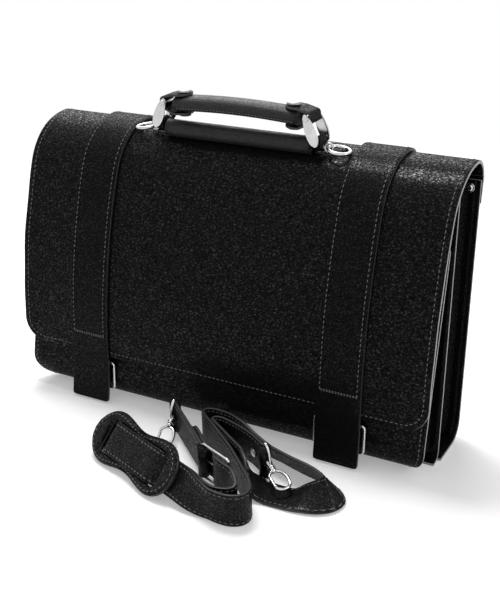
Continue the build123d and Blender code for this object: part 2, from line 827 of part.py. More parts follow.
# Buckle strap: short strap from the second hook to the buckle, folded round both
with BuildPart() as buckle_strap:
    with BuildSketch(Plane.XY.offset(held - sling_width / 2 + 0.3)):
        with BuildLine():
            Line(hook_two_foot, buckle_foot)
        trace(line_width=sling_thickness)
        with Locations(hook_two_foot):
            Circle(hook_wire + 1.7)
        with Locations(buckle_foot):
            Circle(buckle_wire / 2 + 1.5)
        with Locations(hook_two_foot):
            Circle(hook_wire + 2 * running_gap, mode=Mode.SUBTRACT)
        with Locations(buckle_foot):
            Circle(buckle_wire / 2 + 2 * running_gap, mode=Mode.SUBTRACT)
    extrude(amount=sling_width - 0.6)
    with BuildSketch(prong_plane.offset(-prong_radius - 0.6)):
        Circle(5)
    extrude(amount=2 * prong_radius + 1.2, mode=Mode.SUBTRACT)
write(buckle_strap, "buckle_strap")

# Buckle frame: rectangular, standing on edge
frame_drop = sling_width + buckle_wire + 2 * buckle_play
upright = Plane(
    origin=(buckle_x, buckle_y, held),
    x_dir=(buckle_along.X, buckle_along.Y, 0),
    z_dir=(-buckle_behind.X, -buckle_behind.Y, 0),
)
with BuildPart() as strap_buckle:
    with BuildLine(upright) as frame_path:
        FilletPolyline(
            (0, -frame_drop / 2), (buckle_reach, -frame_drop / 2),
            (buckle_reach, frame_drop / 2), (0, frame_drop / 2),
            radius=2, close=True,
        )
    with BuildSketch(Plane(origin=(buckle_x, buckle_y, held), z_dir=(0, 0, 1))):
        Circle(buckle_wire / 2)
    sweep(path=frame_path.wires()[0])
write(strap_buckle, "strap_buckle")

# Prong: turns on the left bar and rests behind the right one
prong_end = Vector(buckle_reach + 1.5, buckle_wire / 2 + prong_radius + 0.25)
prong_start = Vector(0, buckle_wire / 2 + prong_radius - 0.2)
prong_way = prong_end - prong_start
with BuildPart() as strap_prong:
    with BuildSketch(prong_plane.offset(-prong_radius)):
        Circle(buckle_wire / 2 + prong_radius + 0.6)
        Circle(buckle_wire / 2 + running_gap, mode=Mode.SUBTRACT)
    extrude(amount=2 * prong_radius)
    foot = prong_plane.from_local_coords(prong_start + prong_way.normalized() * 1.2)
    tip = prong_plane.from_local_coords(prong_end)
    with BuildSketch(Plane(origin=foot, z_dir=tip - foot)):
        Circle(prong_radius)
    extrude(amount=(tip - foot).length)
write(strap_prong, "strap_prong")

# Shoulder pad: a waisted leather pad with two slots for the strap
pad_plane = Plane(origin=(pad_x, pad_y, pad_z), x_dir=pad_along, z_dir=pad_face)
lobe_x = pad_length / 2 - pad_lobe_radius
with BuildPart() as shoulder_pad:
    with BuildSketch(pad_plane):
        for end in (-1, 1):
            with Locations((end * lobe_x, 0)):
                Circle(pad_lobe_radius)
        Rectangle(2 * lobe_x, pad_waist)
        for end in (-1, 1):
            with Locations((end * slot_from_centre, 0)):
                Rectangle(slot_width, slot_length, mode=Mode.SUBTRACT)
    extrude(amount=pad_thickness / 2, both=True)
write(shoulder_pad, "shoulder_pad")

# Rivet through the first hook's strap end
with BuildPart() as strap_rivet:
    away = (Vector(64, -79) - hook_one_foot).normalized()
    rivet_spot = hook_one_foot - away * -16
    face = Vector(away.Y, -away.X)
    for reach in (-1, 1):
        start = rivet_spot + face * (reach * (sling_thickness / 2 + side_gap))
        outward = face * reach
        with BuildSketch(Plane(origin=(start.X, start.Y, held - 0.7), z_dir=(outward.X, outward.Y, 0))):
            Circle(rivet_radius + 0.6)
        extrude(amount=1.0)
write(strap_rivet, "strap_rivet")

# Snap hooks: a fixed eye in the strap's fold, a swivelling hook and its sprung gate
hooks = [
    ("one", hook_one_foot, hook_one_heading, hook_one_fall),
    ("two", hook_two_foot, hook_two_heading, hook_two_fall),
]
for order, foot_spot, turn, fall in hooks:
    out = heading_vector(turn)
    eye_plane = Plane(
        origin=(foot_spot.X, foot_spot.Y, held), x_dir=(out.X, out.Y, 0), z_dir=(out.Y, -out.X, 0)
    )
    eye_half = sling_width / 2 + hook_wire + 0.3
    with BuildPart() as hook_eye:
        with BuildLine(eye_plane) as eye_path:
            FilletPolyline(
                (0, -eye_half), (eye_reach * 0.5, -eye_half), (eye_reach, -3),
                (eye_reach, 3), (eye_reach * 0.5, eye_half), (0, eye_half),
                radius=2, close=True,
            )
        with BuildSketch(Plane(origin=(foot_spot.X, foot_spot.Y, held), z_dir=(0, 0, 1))):
            Circle(hook_wire - 0.2)
        sweep(path=eye_path.wires()[0])
    swivel_centre = eye_plane.from_local_coords((eye_reach, 0))
    slope = math.radians(fall)
    way = Vector(out.X * math.cos(slope), out.Y * math.cos(slope), -math.sin(slope))
    side_way = Vector(-out.Y, out.X, 0)
    barrel = Plane(origin=swivel_centre - way * 3, x_dir=side_way, z_dir=way)
    with hook_eye:
        with BuildSketch(barrel):
            Circle(swivel_radius)
        extrude(amount=6)
        with BuildSketch(barrel.offset(-4)):
            Circle(stem_radius + running_gap)
        extrude(amount=14, mode=Mode.SUBTRACT)
    write(hook_eye, f"hook_eye_{order}")

    hook_plane = Plane(origin=swivel_centre + way * 3, x_dir=way, z_dir=way.cross(side_way))
    bow_half = hook_width / 2 - hook_wire
    with BuildPart() as snap_hook:
        with BuildSketch(Plane(origin=swivel_centre - way * 4.6, x_dir=side_way, z_dir=way)):
            Circle(stem_radius + 0.5)
        extrude(amount=1.4)
        with BuildSketch(Plane(origin=swivel_centre - way * 4, x_dir=side_way, z_dir=way)):
            Circle(stem_radius)
        extrude(amount=4 + 3 + 3)
        with BuildSketch(Plane(origin=swivel_centre + way * 3.2, x_dir=side_way, z_dir=way)):
            Circle(swivel_radius - 0.4)
        extrude(amount=2.0)
        with BuildLine(hook_plane) as bow_path:
            FilletPolyline(
                (3.4, -bow_half), (3.4 + hook_length - 2 * hook_wire, -bow_half),
                (3.4 + hook_length - 2 * hook_wire, bow_half), (3.4, bow_half),
                radius=bow_half - 0.2, close=True,
            )
        bow_side = hook_plane.from_local_coords((3.4 + hook_length / 2, bow_half))
        with BuildSketch(Plane(origin=bow_side, x_dir=side_way, z_dir=way)):
            Circle(hook_wire)
        sweep(path=bow_path.wires()[0])
        with BuildSketch(hook_plane.offset(-hook_wire - 1)):
            with Locations((gate_from + gate_length / 2, -bow_half)):
                Rectangle(gate_length, gate_cut)
        extrude(amount=2 * hook_wire + 2, mode=Mode.SUBTRACT)
    write(snap_hook, f"snap_hook_{order}")

    gate_foot = gate_from + 2 * side_gap
    gate_start = hook_plane.from_local_coords((gate_foot, -bow_half))
    with BuildPart() as hook_gate:
        with BuildSketch(Plane(origin=gate_start, x_dir=side_way, z_dir=way)):
            Circle(hook_wire - 0.3)
        extrude(amount=gate_length - 3 * side_gap)
    write(hook_gate, f"hook_gate_{order}")
    pivot = hook_plane.from_local_coords((gate_foot + 1, -bow_half))
    print("hook", order, "swivel", tuple(swivel_centre), "way", tuple(way), "gate", tuple(pivot))
    print("gate axis", tuple(hook_plane.z_dir))

print("flap hinge", hinge_y + strap_thickness * math.cos(lean), hinge_z)
print("handle pivot", handle_y, pivot_z, "ring eye", eye_x)
print("tuck loop bar", strap_centre_x, loop_bar_y, loop_bar_z)
print("prong pivot", buckle_x, buckle_y, held)
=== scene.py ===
import bpy
import bmesh
import json
from math import asin, atan2, copysign, cos, degrees, exp, hypot, pi, radians, remainder, sin, sqrt, tan, tau
from mathutils import Matrix, Vector, noise

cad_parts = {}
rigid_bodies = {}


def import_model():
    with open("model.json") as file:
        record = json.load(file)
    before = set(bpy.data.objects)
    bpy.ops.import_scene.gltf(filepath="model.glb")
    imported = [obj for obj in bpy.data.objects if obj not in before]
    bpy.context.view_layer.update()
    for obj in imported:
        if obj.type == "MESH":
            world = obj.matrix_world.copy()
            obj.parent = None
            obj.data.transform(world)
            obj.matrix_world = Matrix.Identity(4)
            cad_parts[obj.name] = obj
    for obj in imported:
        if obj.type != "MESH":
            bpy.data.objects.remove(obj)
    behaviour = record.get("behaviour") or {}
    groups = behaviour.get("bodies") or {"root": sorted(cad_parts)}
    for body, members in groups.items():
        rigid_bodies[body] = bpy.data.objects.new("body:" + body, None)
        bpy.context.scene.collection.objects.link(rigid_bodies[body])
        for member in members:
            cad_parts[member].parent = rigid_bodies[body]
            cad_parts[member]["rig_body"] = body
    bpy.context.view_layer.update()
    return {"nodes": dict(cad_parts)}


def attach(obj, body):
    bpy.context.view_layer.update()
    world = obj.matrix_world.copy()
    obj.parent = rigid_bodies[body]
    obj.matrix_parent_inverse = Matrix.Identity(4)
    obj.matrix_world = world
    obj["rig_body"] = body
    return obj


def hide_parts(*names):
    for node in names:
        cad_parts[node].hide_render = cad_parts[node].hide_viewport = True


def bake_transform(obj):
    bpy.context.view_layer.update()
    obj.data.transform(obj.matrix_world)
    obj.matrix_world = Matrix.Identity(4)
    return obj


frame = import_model()
nodes = frame["nodes"]
scene = bpy.context.scene
sides = ((-1, "left"), (1, "right"))

# Sizes are millimetres until finishPiece turns a piece to metres


# Shader maths: a socket that can be added, multiplied and so on
class Wire:
    def __init__(self, tree, socket):
        self.tree = tree
        self.socket = socket

    def math(self, operation, other=None, swap=False):
        node = self.tree.nodes.new("ShaderNodeMath")
        node.operation = operation
        first, second = (other, self) if swap else (self, other)
        for place, value in enumerate((first, second)):
            if isinstance(value, Wire):
                self.tree.links.new(value.socket, node.inputs[place])
            elif value is not None:
                node.inputs[place].default_value = value
        return Wire(self.tree, node.outputs[0])

    def __add__(self, other):
        return self.math("ADD", other)

    def __sub__(self, other):
        return self.math("SUBTRACT", other)

    def __mul__(self, other):
        return self.math("MULTIPLY", other)

    def __rsub__(self, other):
        return self.math("SUBTRACT", other, swap=True)

    __radd__ = __add__
    __rmul__ = __mul__


class Finish:
    # A material with one Principled shader and a short way to add nodes
    def __init__(self, name):
        self.material = bpy.data.materials.new(name)
        self.material.use_nodes = True
        self.tree = self.material.node_tree
        self.shader = self.tree.nodes["Principled BSDF"]
        self.place = self.add("ShaderNodeTexCoord").outputs["Object"]

    def add(self, kind, settings=None, **sockets):
        node = self.tree.nodes.new(kind)
        for key, value in (settings or {}).items():
            setattr(node, key, value)
        for key, value in sockets.items():
            # Sockets go by name, or as i0, i1 and so on where several share a name
            numbered = key[0] == "i" and key[1:].isdigit()
            socket = node.inputs[int(key[1:]) if numbered else key]
            if isinstance(value, Wire):
                self.tree.links.new(value.socket, socket)
            elif isinstance(value, bpy.types.NodeSocket):
                self.tree.links.new(value, socket)
            else:
                socket.default_value = value
        return node

    def noise(self, scale, detail=3.0, rough=0.55, place=None):
        sockets = {"Vector": place or self.place, "Scale": scale, "Detail": detail, "Roughness": rough}
        return Wire(self.tree, self.add("ShaderNodeTexNoise", **sockets).outputs["Fac"])

    def cells(self, scale, feature, place):
        node = self.add("ShaderNodeTexVoronoi", {"feature": feature}, Vector=place, Scale=scale)
        return Wire(self.tree, node.outputs["Distance"])

    def between(self, amount, low, high):
        node = self.add("ShaderNodeMix", {"data_type": "RGBA"}, i0=amount)
        node.inputs[6].default_value = (*low, 1)
        node.inputs[7].default_value = (*high, 1)
        return node.outputs[2]

    def steps(self, value, low, high):
        node = self.add("ShaderNodeMapRange", {"clamp": True}, Value=value)
        node.inputs["From Min"].default_value = low
        node.inputs["From Max"].default_value = high
        return Wire(self.tree, node.outputs[0])

    def link(self, value, name):
        socket = value.socket if isinstance(value, Wire) else value
        self.tree.links.new(socket, self.shader.inputs[name])

    def fix(self, name, value):
        self.shader.inputs[name].default_value = value

    def bump(self, height, distance):
        node = self.add("ShaderNodeBump", Height=height, Distance=distance, Strength=1.0)
        self.link(node.outputs[0], "Normal")


# Darkest tone, that of the bare hide and of the painted shade in the creases, and lightest tone, that of the
# painted highlight on the pebble tops and flecks; roughness, pebbles a metre, their height, sheen and wax
hides = {
    "pebbledHide": (0.0008, 0.011, 0.44, 430.0, 0.00065, 0.04, 0.8),
    "strapHide": (0.0008, 0.008, 0.47, 520.0, 0.00034, 0.05, 0.5),
    "slingHide": (0.0014, 0.02, 0.42, 520.0, 0.00034, 0.09, 0.9),
    "gussetHide": (0.001, 0.007, 0.55, 620.0, 0.00025, 0.04, 0.4),
    # Roll and grip: the hide painted lighter, as painted light on their top-lit faces, with more sheen
    "rollHidePaintedLight": (0.005, 0.026, 0.5, 640.0, 0.00022, 0.34, 0.5),
}
pebble = {
    "stretch": (0.72, 1.0, 1.08), "crease": 0.2, "fleckGrain": 1.35, "fleckFrom": 0.5, "fleckTo": 0.68,
    "fineGrain": 3.4, "patch": 24.0, "waxRough": 0.22,
}


def pebbleLeather(name):
    # Near-black drum-dyed hide: raised pebbles with creases between them, their tops waxed. Its base colour
    # is painted lighter on the pebble tops and flecks as a painted highlight, painted darker in the creases
    # as painted shade, and varies at random in patches
    dark, light, rough, grain, depth, sheen, wax = hides[name]
    f = Finish(name)
    drawn = f.add("ShaderNodeMapping", Vector=f.place, Scale=pebble["stretch"]).outputs[0]
    pebbles = f.cells(grain, "SMOOTH_F1", drawn)
    creases = f.steps(f.cells(grain, "DISTANCE_TO_EDGE", drawn), 0.0, pebble["crease"])
    fine = f.noise(grain * pebble["fineGrain"], 2.0)
    speckle = f.noise(grain * pebble["fleckGrain"], 3.0, 0.65, drawn)
    glintFleck = f.steps(speckle, pebble["fleckFrom"], pebble["fleckTo"])
    patch = f.noise(pebble["patch"], 3.0)
    # This mask paints a highlight on the pebble tops and flecks and shade in the creases; the patches add
    # random tone
    top = creases * (glintFleck * 0.88 + 0.12)
    tone = top * (patch * 0.9 + 0.35)
    f.link(f.between(tone, (dark, dark, dark * 1.05), (light, light, light * 1.03)), "Base Color")
    f.link(rough + (1 - creases) * 0.2 + patch * 0.12 - glintFleck * 0.08, "Roughness")
    f.link(top * wax, "Coat Weight")
    f.bump((1 - pebbles) * 0.75 + creases * 0.35 + fine * 0.12 + glintFleck * 0.2, depth)
    f.fix("Specular IOR Level", sheen)
    f.fix("Coat Roughness", pebble["waxRough"])
    return f.material


# Fibres, wear, the fibres' share of the tone, its span, roughness and the fibres' height
cutEdge = ((900.0, 4.0, 0.7), (70.0, 3.0), 0.7, (0.4, 1.5), (0.36, 0.22), 0.0001)
waxedTwist = ((2600.0, 2.0), (60.0, 2.0), 0.5, (0.5, 1.4), (0.6, 0.2), 0.00006)


def fibrous(name, tone, fine, worn, share, span, rough, height):
    # The burnished cut edge of a hide with its layers just showing, or thread with its twist
    f = Finish(name)
    fibres, wear = f.noise(*fine), f.noise(*worn)
    low, high = ((tone * k,) * 3 for k in span)
    f.link(f.between(fibres * share + wear * (1 - share), low, high), "Base Color")
    f.link(rough[0] + fibres * rough[1], "Roughness")
    f.bump(fibres, height)
    return f.material


def platedMetal(name, tone, shine):
    # Plated metal with faint smears and handling marks
    f = Finish(name)
    smear = f.noise(90.0, 4.0, 0.65)
    marks = f.noise(1500.0, 3.0, 0.7)
    f.link(f.between(smear, (tone * 0.62,) * 3, (tone * 1.2,) * 3), "Base Color")
    f.link(shine + smear * 0.14 + f.steps(marks, 0.62, 0.8) * 0.12, "Roughness")
    f.bump(smear * 0.8 + marks * 0.2, 0.00003)
    f.fix("Metallic", 1.0)
    return f.material


leather = pebbleLeather("pebbledHide")
strapLeather = pebbleLeather("strapHide")
slingLeather = pebbleLeather("slingHide")
softLeather = pebbleLeather("gussetHide")
# A copy of the hide painted lighter, as painted light for the top-lit roll and grip
rollLeatherPaintedLight = pebbleLeather("rollHidePaintedLight")
edge = fibrous("cutEdge", 0.02, *cutEdge)
paleEdge = fibrous("wornEdge", 0.36, *cutEdge)
stiffener = fibrous("stiffenerBoard", 0.05, *cutEdge)
thread = fibrous("greyThread", 0.2, *waxedTwist)
nickel = platedMetal("nickelPlate", 0.66, 0.14)
capMetal = platedMetal("capPlate", 0.3, 0.36)
steel = platedMetal("rodSteel", 0.56, 0.3)
print("materials ready")


# A path across a sheet, made of straight and round stretches, in two coordinates
class SheetPath:
    def __init__(self, start, heading):
        self.parts = []
        self.end = Vector(start)
        self.heading = heading
        self.length = 0.0

    def add(self, length, bend=0.0):
        self.parts.append((self.length, length, self.end.copy(), self.heading, bend))
        self.end = self.spot(self.parts[-1], length)
        self.heading += bend * length
        self.length += length
        return self

    def arc(self, radius, turn):
        return self.add(radius * abs(radians(turn)), copysign(1 / radius, turn))

    def arcTo(self, target):
        # A round stretch that leaves the path without a kink and ends at the target
        chord = Vector(target) - self.end
        side = Vector((-sin(self.heading), cos(self.heading)))
        bend = 2 * side.dot(chord) / chord.length_squared
        turn = 2 * asin(max(-1, min(1, bend * chord.length / 2)))
        return self.add(turn / bend, bend)

    def spot(self, part, along):
        start, heading, bend = part[2:]
        if abs(bend) < 1e-9:
            return start + Vector((cos(heading), sin(heading))) * along
        turned = heading + bend * along
        chord = Vector((sin(turned) - sin(heading), cos(heading) - cos(turned)))
        return start + chord / bend

    def at(self, along):
        for part in self.parts:
            if along <= part[0] + part[1]:
                break
        local = along - part[0]
        turned = part[3] + part[4] * local
        return self.spot(part, local), Vector((cos(turned), sin(turned)))


def bentLine(points, radius):
    # Straight runs between points, with rounded corners
    spots = [Vector(p) for p in points]
    path = SheetPath(spots[0], 0.0)
    for i, here in enumerate(spots[1:], 1):
        run = here - spots[i - 1]
        path.heading = atan2(run.y, run.x)
        if i == len(spots) - 1:
            return path.add((here - path.end).length)
        ahead = spots[i + 1] - here
        turn = remainder(atan2(ahead.y, ahead.x) - path.heading, tau)
        path.add((here - path.end).length - radius * tan(abs(turn) / 2))
        if abs(turn) > 1e-4:
            path.arc(radius, degrees(turn))


def lengthwise(path, lift=0.0, wave=None):
    # Wraps a flat sheet, x across and y along the path, on a path that runs in the case's YZ plane
    def wrap(co):
        spot, ahead = path.at(co.y)
        height = co.z + lift + (wave(co.x, co.y) if wave else 0.0)
        return Vector((co.x, spot.x + ahead.y * height, spot.y - ahead.x * height))
    return wrap


def turns(steps):
    return [tau * i / steps for i in range(steps)]


def squareOval(turn, power, wide, high):
    # A point on an oval that is squarer than an ellipse where the power is below 1
    c, s = cos(turn), sin(turn)
    return copysign(abs(c) ** power, c) * wide, copysign(abs(s) ** power, s) * high


def gridOf(columns, rows, size=0.5):
    bm = bmesh.new()
    bmesh.ops.create_grid(bm, x_segments=columns, y_segments=rows, size=size)
    return bm


def meshOf(bm, name):
    mesh = bpy.data.meshes.new(name)
    bm.to_mesh(mesh)
    bm.free()
    return mesh


def putIn(name, data):
    made = bpy.data.objects.new(name, data)
    scene.collection.objects.link(made)
    return made


def finishPiece(bm, name, body, material, replaced=(), wrap=None, extra=()):
    # Wraps a sheet, turns it to metres, makes the object and lets it ride on its body
    for v in bm.verts:
        v.co = (wrap(v.co) if wrap else v.co) * 0.001
    bmesh.ops.recalc_face_normals(bm, faces=bm.faces)
    for face in bm.faces:
        face.smooth = True
    piece = putIn(name, meshOf(bm, name))
    for each in (material, *extra):
        piece.data.materials.append(each)
    if body:
        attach(piece, body)
    if replaced:
        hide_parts(*replaced)
    return piece


def flatSheet(width, length, thick, cell, corner=(0, 0), centre=0.0, start=0.0, rim=0.7):
    # A flat sheet with round corners, rounded rims and a cut edge; its face is at height 0
    bm = gridOf(max(2, round(width / cell)), max(2, round(length / cell)))
    near, far = corner
    for v in bm.verts:
        x, y = v.co.x * width, (v.co.y + 0.5) * length
        for radius, depth in ((near, y), (far, length - y)):
            reach, deep = abs(x) - width / 2 + radius, radius - depth
            if radius and reach > 0 and deep > 0:
                pull = max(reach, deep) / hypot(reach, deep)
                x = copysign(width / 2 - radius + reach * pull, x)
                y = radius - deep * pull if depth == y else length - radius + deep * pull
        v.co = Vector((x + centre, y + start, 0))
    thicken(bm, thick, rim)
    return bm


def thicken(bm, thick, rim):
    # Gives flat faces a thickness below them and rounds their rims; the sides get slot 1, the cut edge
    top = list(bm.faces)
    made = bmesh.ops.extrude_face_region(bm, geom=top, use_keep_orig=True)["geom"]
    bmesh.ops.translate(bm, vec=(0, 0, -thick), verts=[v for v in made if isinstance(v, bmesh.types.BMVert)])
    bmesh.ops.recalc_face_normals(bm, faces=bm.faces)
    for face in [f for f in bm.faces if abs(f.normal.z) < 0.5]:
        face.material_index = 1
    sharpAngle = 1.0
    sharp = [e for e in bm.edges if len(e.link_faces) == 2 and e.calc_face_angle() > sharpAngle]
    if rim:
        bmesh.ops.bevel(bm, geom=sharp, offset=rim, segments=2, profile=0.5, affect="EDGES", material=-1)


def flatShape(outlines, cell):
    # Fills closed flat outlines, the later ones as holes, and cuts the fill to small cells
    bm = bmesh.new()
    for outline in outlines:
        ring = [bm.verts.new((x, y, 0)) for x, y in outline]
        for a, b in zip(ring, ring[1:] + ring[:1]):
            bm.edges.new((a, b))
    bmesh.ops.triangle_fill(bm, use_beauty=True, use_dissolve=False, edges=bm.edges, normal=(0, 0, 1))
    xs = [v.co.x for v in bm.verts]
    ys = [v.co.y for v in bm.verts]
    for axis, low, high in ((0, min(xs), max(xs)), (1, min(ys), max(ys))):
        count = round((high - low) / cell)
        for i in range(1, count):
            spot = [0, 0, 0]
            spot[axis] = low + (high - low) * i / count
            way = [0, 0, 0]
            way[axis] = 1
            whole = bm.verts[:] + bm.edges[:] + bm.faces[:]
            bmesh.ops.bisect_plane(bm, geom=whole, dist=0.02, plane_co=spot, plane_no=way)
    return bm


stitch = {"pitch": 4.3, "length": 3.1, "wide": 0.7, "high": 0.55, "lean": 7.0, "fill": 0.8, "proud": 0.1}
bm = bmesh.new()
bmesh.ops.create_uvsphere(bm, u_segments=6, v_segments=4, radius=1.0)
stitchMesh = meshOf(bm, "oneStitch")


def stitchRow(bm, line, height=stitch["proud"], pitch=stitch["pitch"], closed=False):
    # Lays stitches along a line of flat points, each a small rounded bar with a slight lean
    spots = [Vector(p) for p in line]
    if closed:
        spots.append(spots[0])
    carried = pitch / 2
    for a, b in zip(spots, spots[1:]):
        run = (b - a).length
        if run < 1e-6:
            continue
        ahead = (b - a) / run
        turn = atan2(ahead.y, ahead.x) + radians(stitch["lean"])
        long = min(stitch["length"], pitch * stitch["fill"])
        while carried <= run:
            spot = a + ahead * carried
            size = Matrix.Diagonal((long / 2, stitch["wide"] / 2, stitch["high"] / 2, 1))
            place = Matrix.Translation((spot.x, spot.y, height)) @ Matrix.Rotation(turn, 4, "Z") @ size
            stitchMesh.transform(place)
            bm.from_mesh(stitchMesh)
            stitchMesh.transform(place.inverted())
            carried += pitch
        carried -= run


def sewRow(row, name, body, wrap):
    finishPiece(row, name, body, thread, (), wrap)


def roundedPath(halfWide, near, far, radius, steps=8):
    # A U-shaped line: down one side, round two corners and up the other side
    points = [(-halfWide, near)]
    for side, begin in ((-1, pi), (1, 1.5 * pi)):
        for i in range(steps + 1):
            turn = begin + (pi / 2) * i / steps
            x = side * (halfWide - radius) + radius * cos(turn)
            points.append((x, far - radius - radius * sin(turn)))
    points.append((halfWide, near))
    return points


# The case's measures
case = {
    "half": 197.0, "depth": 87.0, "height": 245.0, "lean": radians(4.3), "panel": 2.4,
    "pocketHeight": 188.0, "frontTop": -1.0, "dividerFoot": -0.5, "dividerHeight": 226.0,
    "backRound": 18.0, "frontRound": 24.0, "dividerRound": 8.0, "footCorner": 25.0,
    "seam": 4.5, "frontRowEnd": 14.0, "backRowEnd": 30.0, "backExtra": 5.0, "slack": 0.35,
    "underTurn": 7.5, "topGap": 0.3, "seamGap": 0.1,
}
flap = {
    "half": 200.0, "thick": 3.0, "foot": (-41.0, 45.0), "strapFoot": (-46.0, 1.5), "corner": 22.0,
    "ridge": 18.0, "roofFall": 5.0, "shoulder": 53.0, "shoulderTurn": 63.5, "dropReach": 34.0, "hem": 20.0,
    "cell": 3.2, "hingeZone": 6.0, "skive": 14.0, "seam": 5.0, "swell": 0.9,
}
strap = {
    "x": 124.0, "width": 40.0, "thick": 3.0, "gap": 0.05, "corner": 2.0, "row": 3.6,
    "crossAt": 66.0, "crossPitch": 2.6, "crossGap": 1.1, "crossProud": 0.12,
}

halfDeep = case["depth"] / 2
leanTan = tan(case["lean"])
hingeZ = case["height"] - flap["ridge"] * (1 + sin(case["lean"]))
hingeY = halfDeep + hingeZ * leanTan + flap["thick"] / cos(case["lean"])
riseWay = Vector((sin(case["lean"]), cos(case["lean"])))
upward = pi / 2 - case["lean"]


def flapPath():
    # From the hem's foot up the back, over the ridge and shoulder and down to the flap's foot
    path = SheetPath(Vector((hingeY, hingeZ)) - riseWay * flap["hem"], upward)
    path.add(flap["hem"])
    path.arc(flap["ridge"], 90 + flap["roofFall"] + degrees(case["lean"]))
    roofTurn = radians(180 + flap["roofFall"])
    reach = flap["shoulder"] * (sin(roofTurn) - sin(roofTurn + radians(flap["shoulderTurn"])))
    path.add(path.end.x - flap["foot"][0] - reach - flap["dropReach"])
    path.arc(flap["shoulder"], flap["shoulderTurn"])
    return path.arcTo(flap["foot"])


flapLine = flapPath()
strapLine = flapPath().arcTo(flap["strapFoot"])


def flapWave(x, s):
    # The hide isn't quite flat: it swells between the straps and its side edges lift a little
    free = max(0.0, min(1.0, (s - 30) / 60))
    swell = noise.noise(Vector((x * 0.012, s * 0.014, 3.7))) * flap["swell"]
    lift = max(0.0, abs(x) / flap["half"] - 0.86) / 0.14
    return free * (swell + lift**2 * flap["swell"] * noise.noise(Vector((x * 0.02, s * 0.03, 9.1))))


def zoneSheets(path, width, corner, centre, name, replaced, lift, material, rim):
    # The part below the hinge, the fold at the hinge and the rest, as three pieces of one hide
    thick, length = flap["thick"], path.length
    bendFrom = flap["hem"] - flap["hingeZone"] / 2
    bendTo = flap["hem"] + flap["hingeZone"] / 2
    main = flatSheet(width, length - bendTo, thick, flap["cell"], (0, corner), centre, bendTo)
    piece = finishPiece(main, name, "flap", material, replaced[0], lengthwise(path, lift, flapWave), (rim,))
    fold = flatSheet(width, flap["hingeZone"], thick, 1.0, (0, 0), centre, bendFrom, rim=0)
    bend = finishPiece(fold, name + "Fold", None, material, (), lengthwise(path, lift), (rim,))
    middle = path.at(flap["hem"])[0] * 0.001
    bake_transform(bend)
    begin = 1.0 if lift else 0.0

    def skived(co):
        # The hem is pared thin towards its foot, so it runs into the back without a step
        thin = 0.3 + 0.7 * min(1.0, co.y / flap["skive"])
        return flat(Vector((co.x, co.y, (co.z + lift + thick) * thin - thick)))

    flat = lengthwise(path)
    low = flatSheet(width, bendFrom - begin, thick, flap["cell"], (0, 0), centre, begin)
    finishPiece(low, name + "Hem", "case", material, replaced[1], skived, (rim,))
    return piece


hide = (("flap_panel",), ("flap_hem",))
zoneSheets(flapLine, 2 * flap["half"], flap["corner"], 0.0, "flapHide", hide, 0.0, leather, paleEdge)
onFlap = strap["thick"] + strap["gap"]
for side, hand in sides:
    replaced = ((f"strap_{hand}",), (f"strap_anchor_{hand}",))
    middle, name = side * strap["x"], f"wideStrap_{hand}"
    zoneSheets(strapLine, strap["width"], strap["corner"], middle, name, replaced, onFlap, strapLeather, edge)

# Stitching on the flap: its edge, and both edges of each strap with two closing rows
flapTop = flap["hem"] + flap["hingeZone"]
row = bmesh.new()
inset = flap["seam"]
stitchRow(row, roundedPath(flap["half"] - inset, flapTop, flapLine.length - inset, flap["corner"] - inset))
sewRow(row, "flapStitches", "flap", lengthwise(flapLine, 0.0, flapWave))


def pathWhere(path, height):
    # How far along the path it comes down to a height at the front
    along = path.length
    while path.at(along)[0].y < height:
        along -= 1.0
    return along


crossAt = pathWhere(strapLine, strap["crossAt"])
reach = strap["width"] / 2 - strap["row"]
for side, hand in sides:
    row = bmesh.new()
    middle = side * strap["x"]
    for shift in (-1, 1):
        x = middle + shift * reach
        stitchRow(row, [(x, flapTop), (x, crossAt)])
    for down in (crossAt, crossAt + strap["crossGap"]):
        ends = [(middle - reach, down), (middle + reach, down)]
        stitchRow(row, ends, strap["crossProud"], strap["crossPitch"])
    sewRow(row, f"strapStitches_{hand}", "flap", lengthwise(strapLine, onFlap, flapWave))
print("flap and straps done")


# Walls of the case
def backY(z):
    return halfDeep + z * leanTan


def dividerY(z):
    return case["dividerFoot"] + z * leanTan


frontSlope = (case["frontTop"] + halfDeep) / case["pocketHeight"]
frontFoot = -halfDeep
frontSeam = frontFoot + case["frontRound"] + case["underTurn"]


def frontY(z):
    return frontFoot + z * frontSlope


def wallWave(x, s):
    return case["slack"] * noise.noise(Vector((x * 0.016, s * 0.02, 21.3)))


backTop = hingeZ - case["topGap"]
dividerTop = case["dividerHeight"]
backFoot = case["dividerFoot"] - case["panel"] / 2
backSpots = [(backFoot, 0), (halfDeep, 0), (backY(backTop), backTop)]
dividerSpots = [
    (frontSeam + case["seamGap"], 0), (case["dividerFoot"], 0), (dividerY(dividerTop), dividerTop),
]
frontSpots = [(case["frontTop"], case["pocketHeight"]), (frontFoot, 0), (frontSeam, 0)]
backLine = bentLine(backSpots, case["backRound"])
dividerLine = bentLine(dividerSpots, case["dividerRound"])
frontLine = bentLine(frontSpots, case["frontRound"])
walls = [
    ("backHide", "back_panel", backLine, (0, 0), case["backExtra"]),
    ("dividerHide", "divider_panel", dividerLine, (0, 3.0), 0.0),
]
for name, node, line, corner, extra in walls:
    sheet = flatSheet(2 * case["half"] + extra, line.length, case["panel"], 4.0, corner)
    finishPiece(sheet, name, "case", leather, (node,), lengthwise(line), (paleEdge,))


def frontWrap(co):
    # The front wall turns under; its two lower corners are rounded as seen from the front
    spot, ahead = frontLine.at(co.y)
    level = co.z + wallWave(co.x, co.y) * min(1.0, co.y / 40)
    x = co.x
    low = case["footCorner"] - spot.y
    if low > 0:
        limit = case["half"] - case["footCorner"] + sqrt(max(0.0, case["footCorner"] ** 2 - low**2))
        x = max(-1, min(1, x / case["half"])) * limit
    return Vector((x, spot.x + ahead.y * level, spot.y - ahead.x * level))


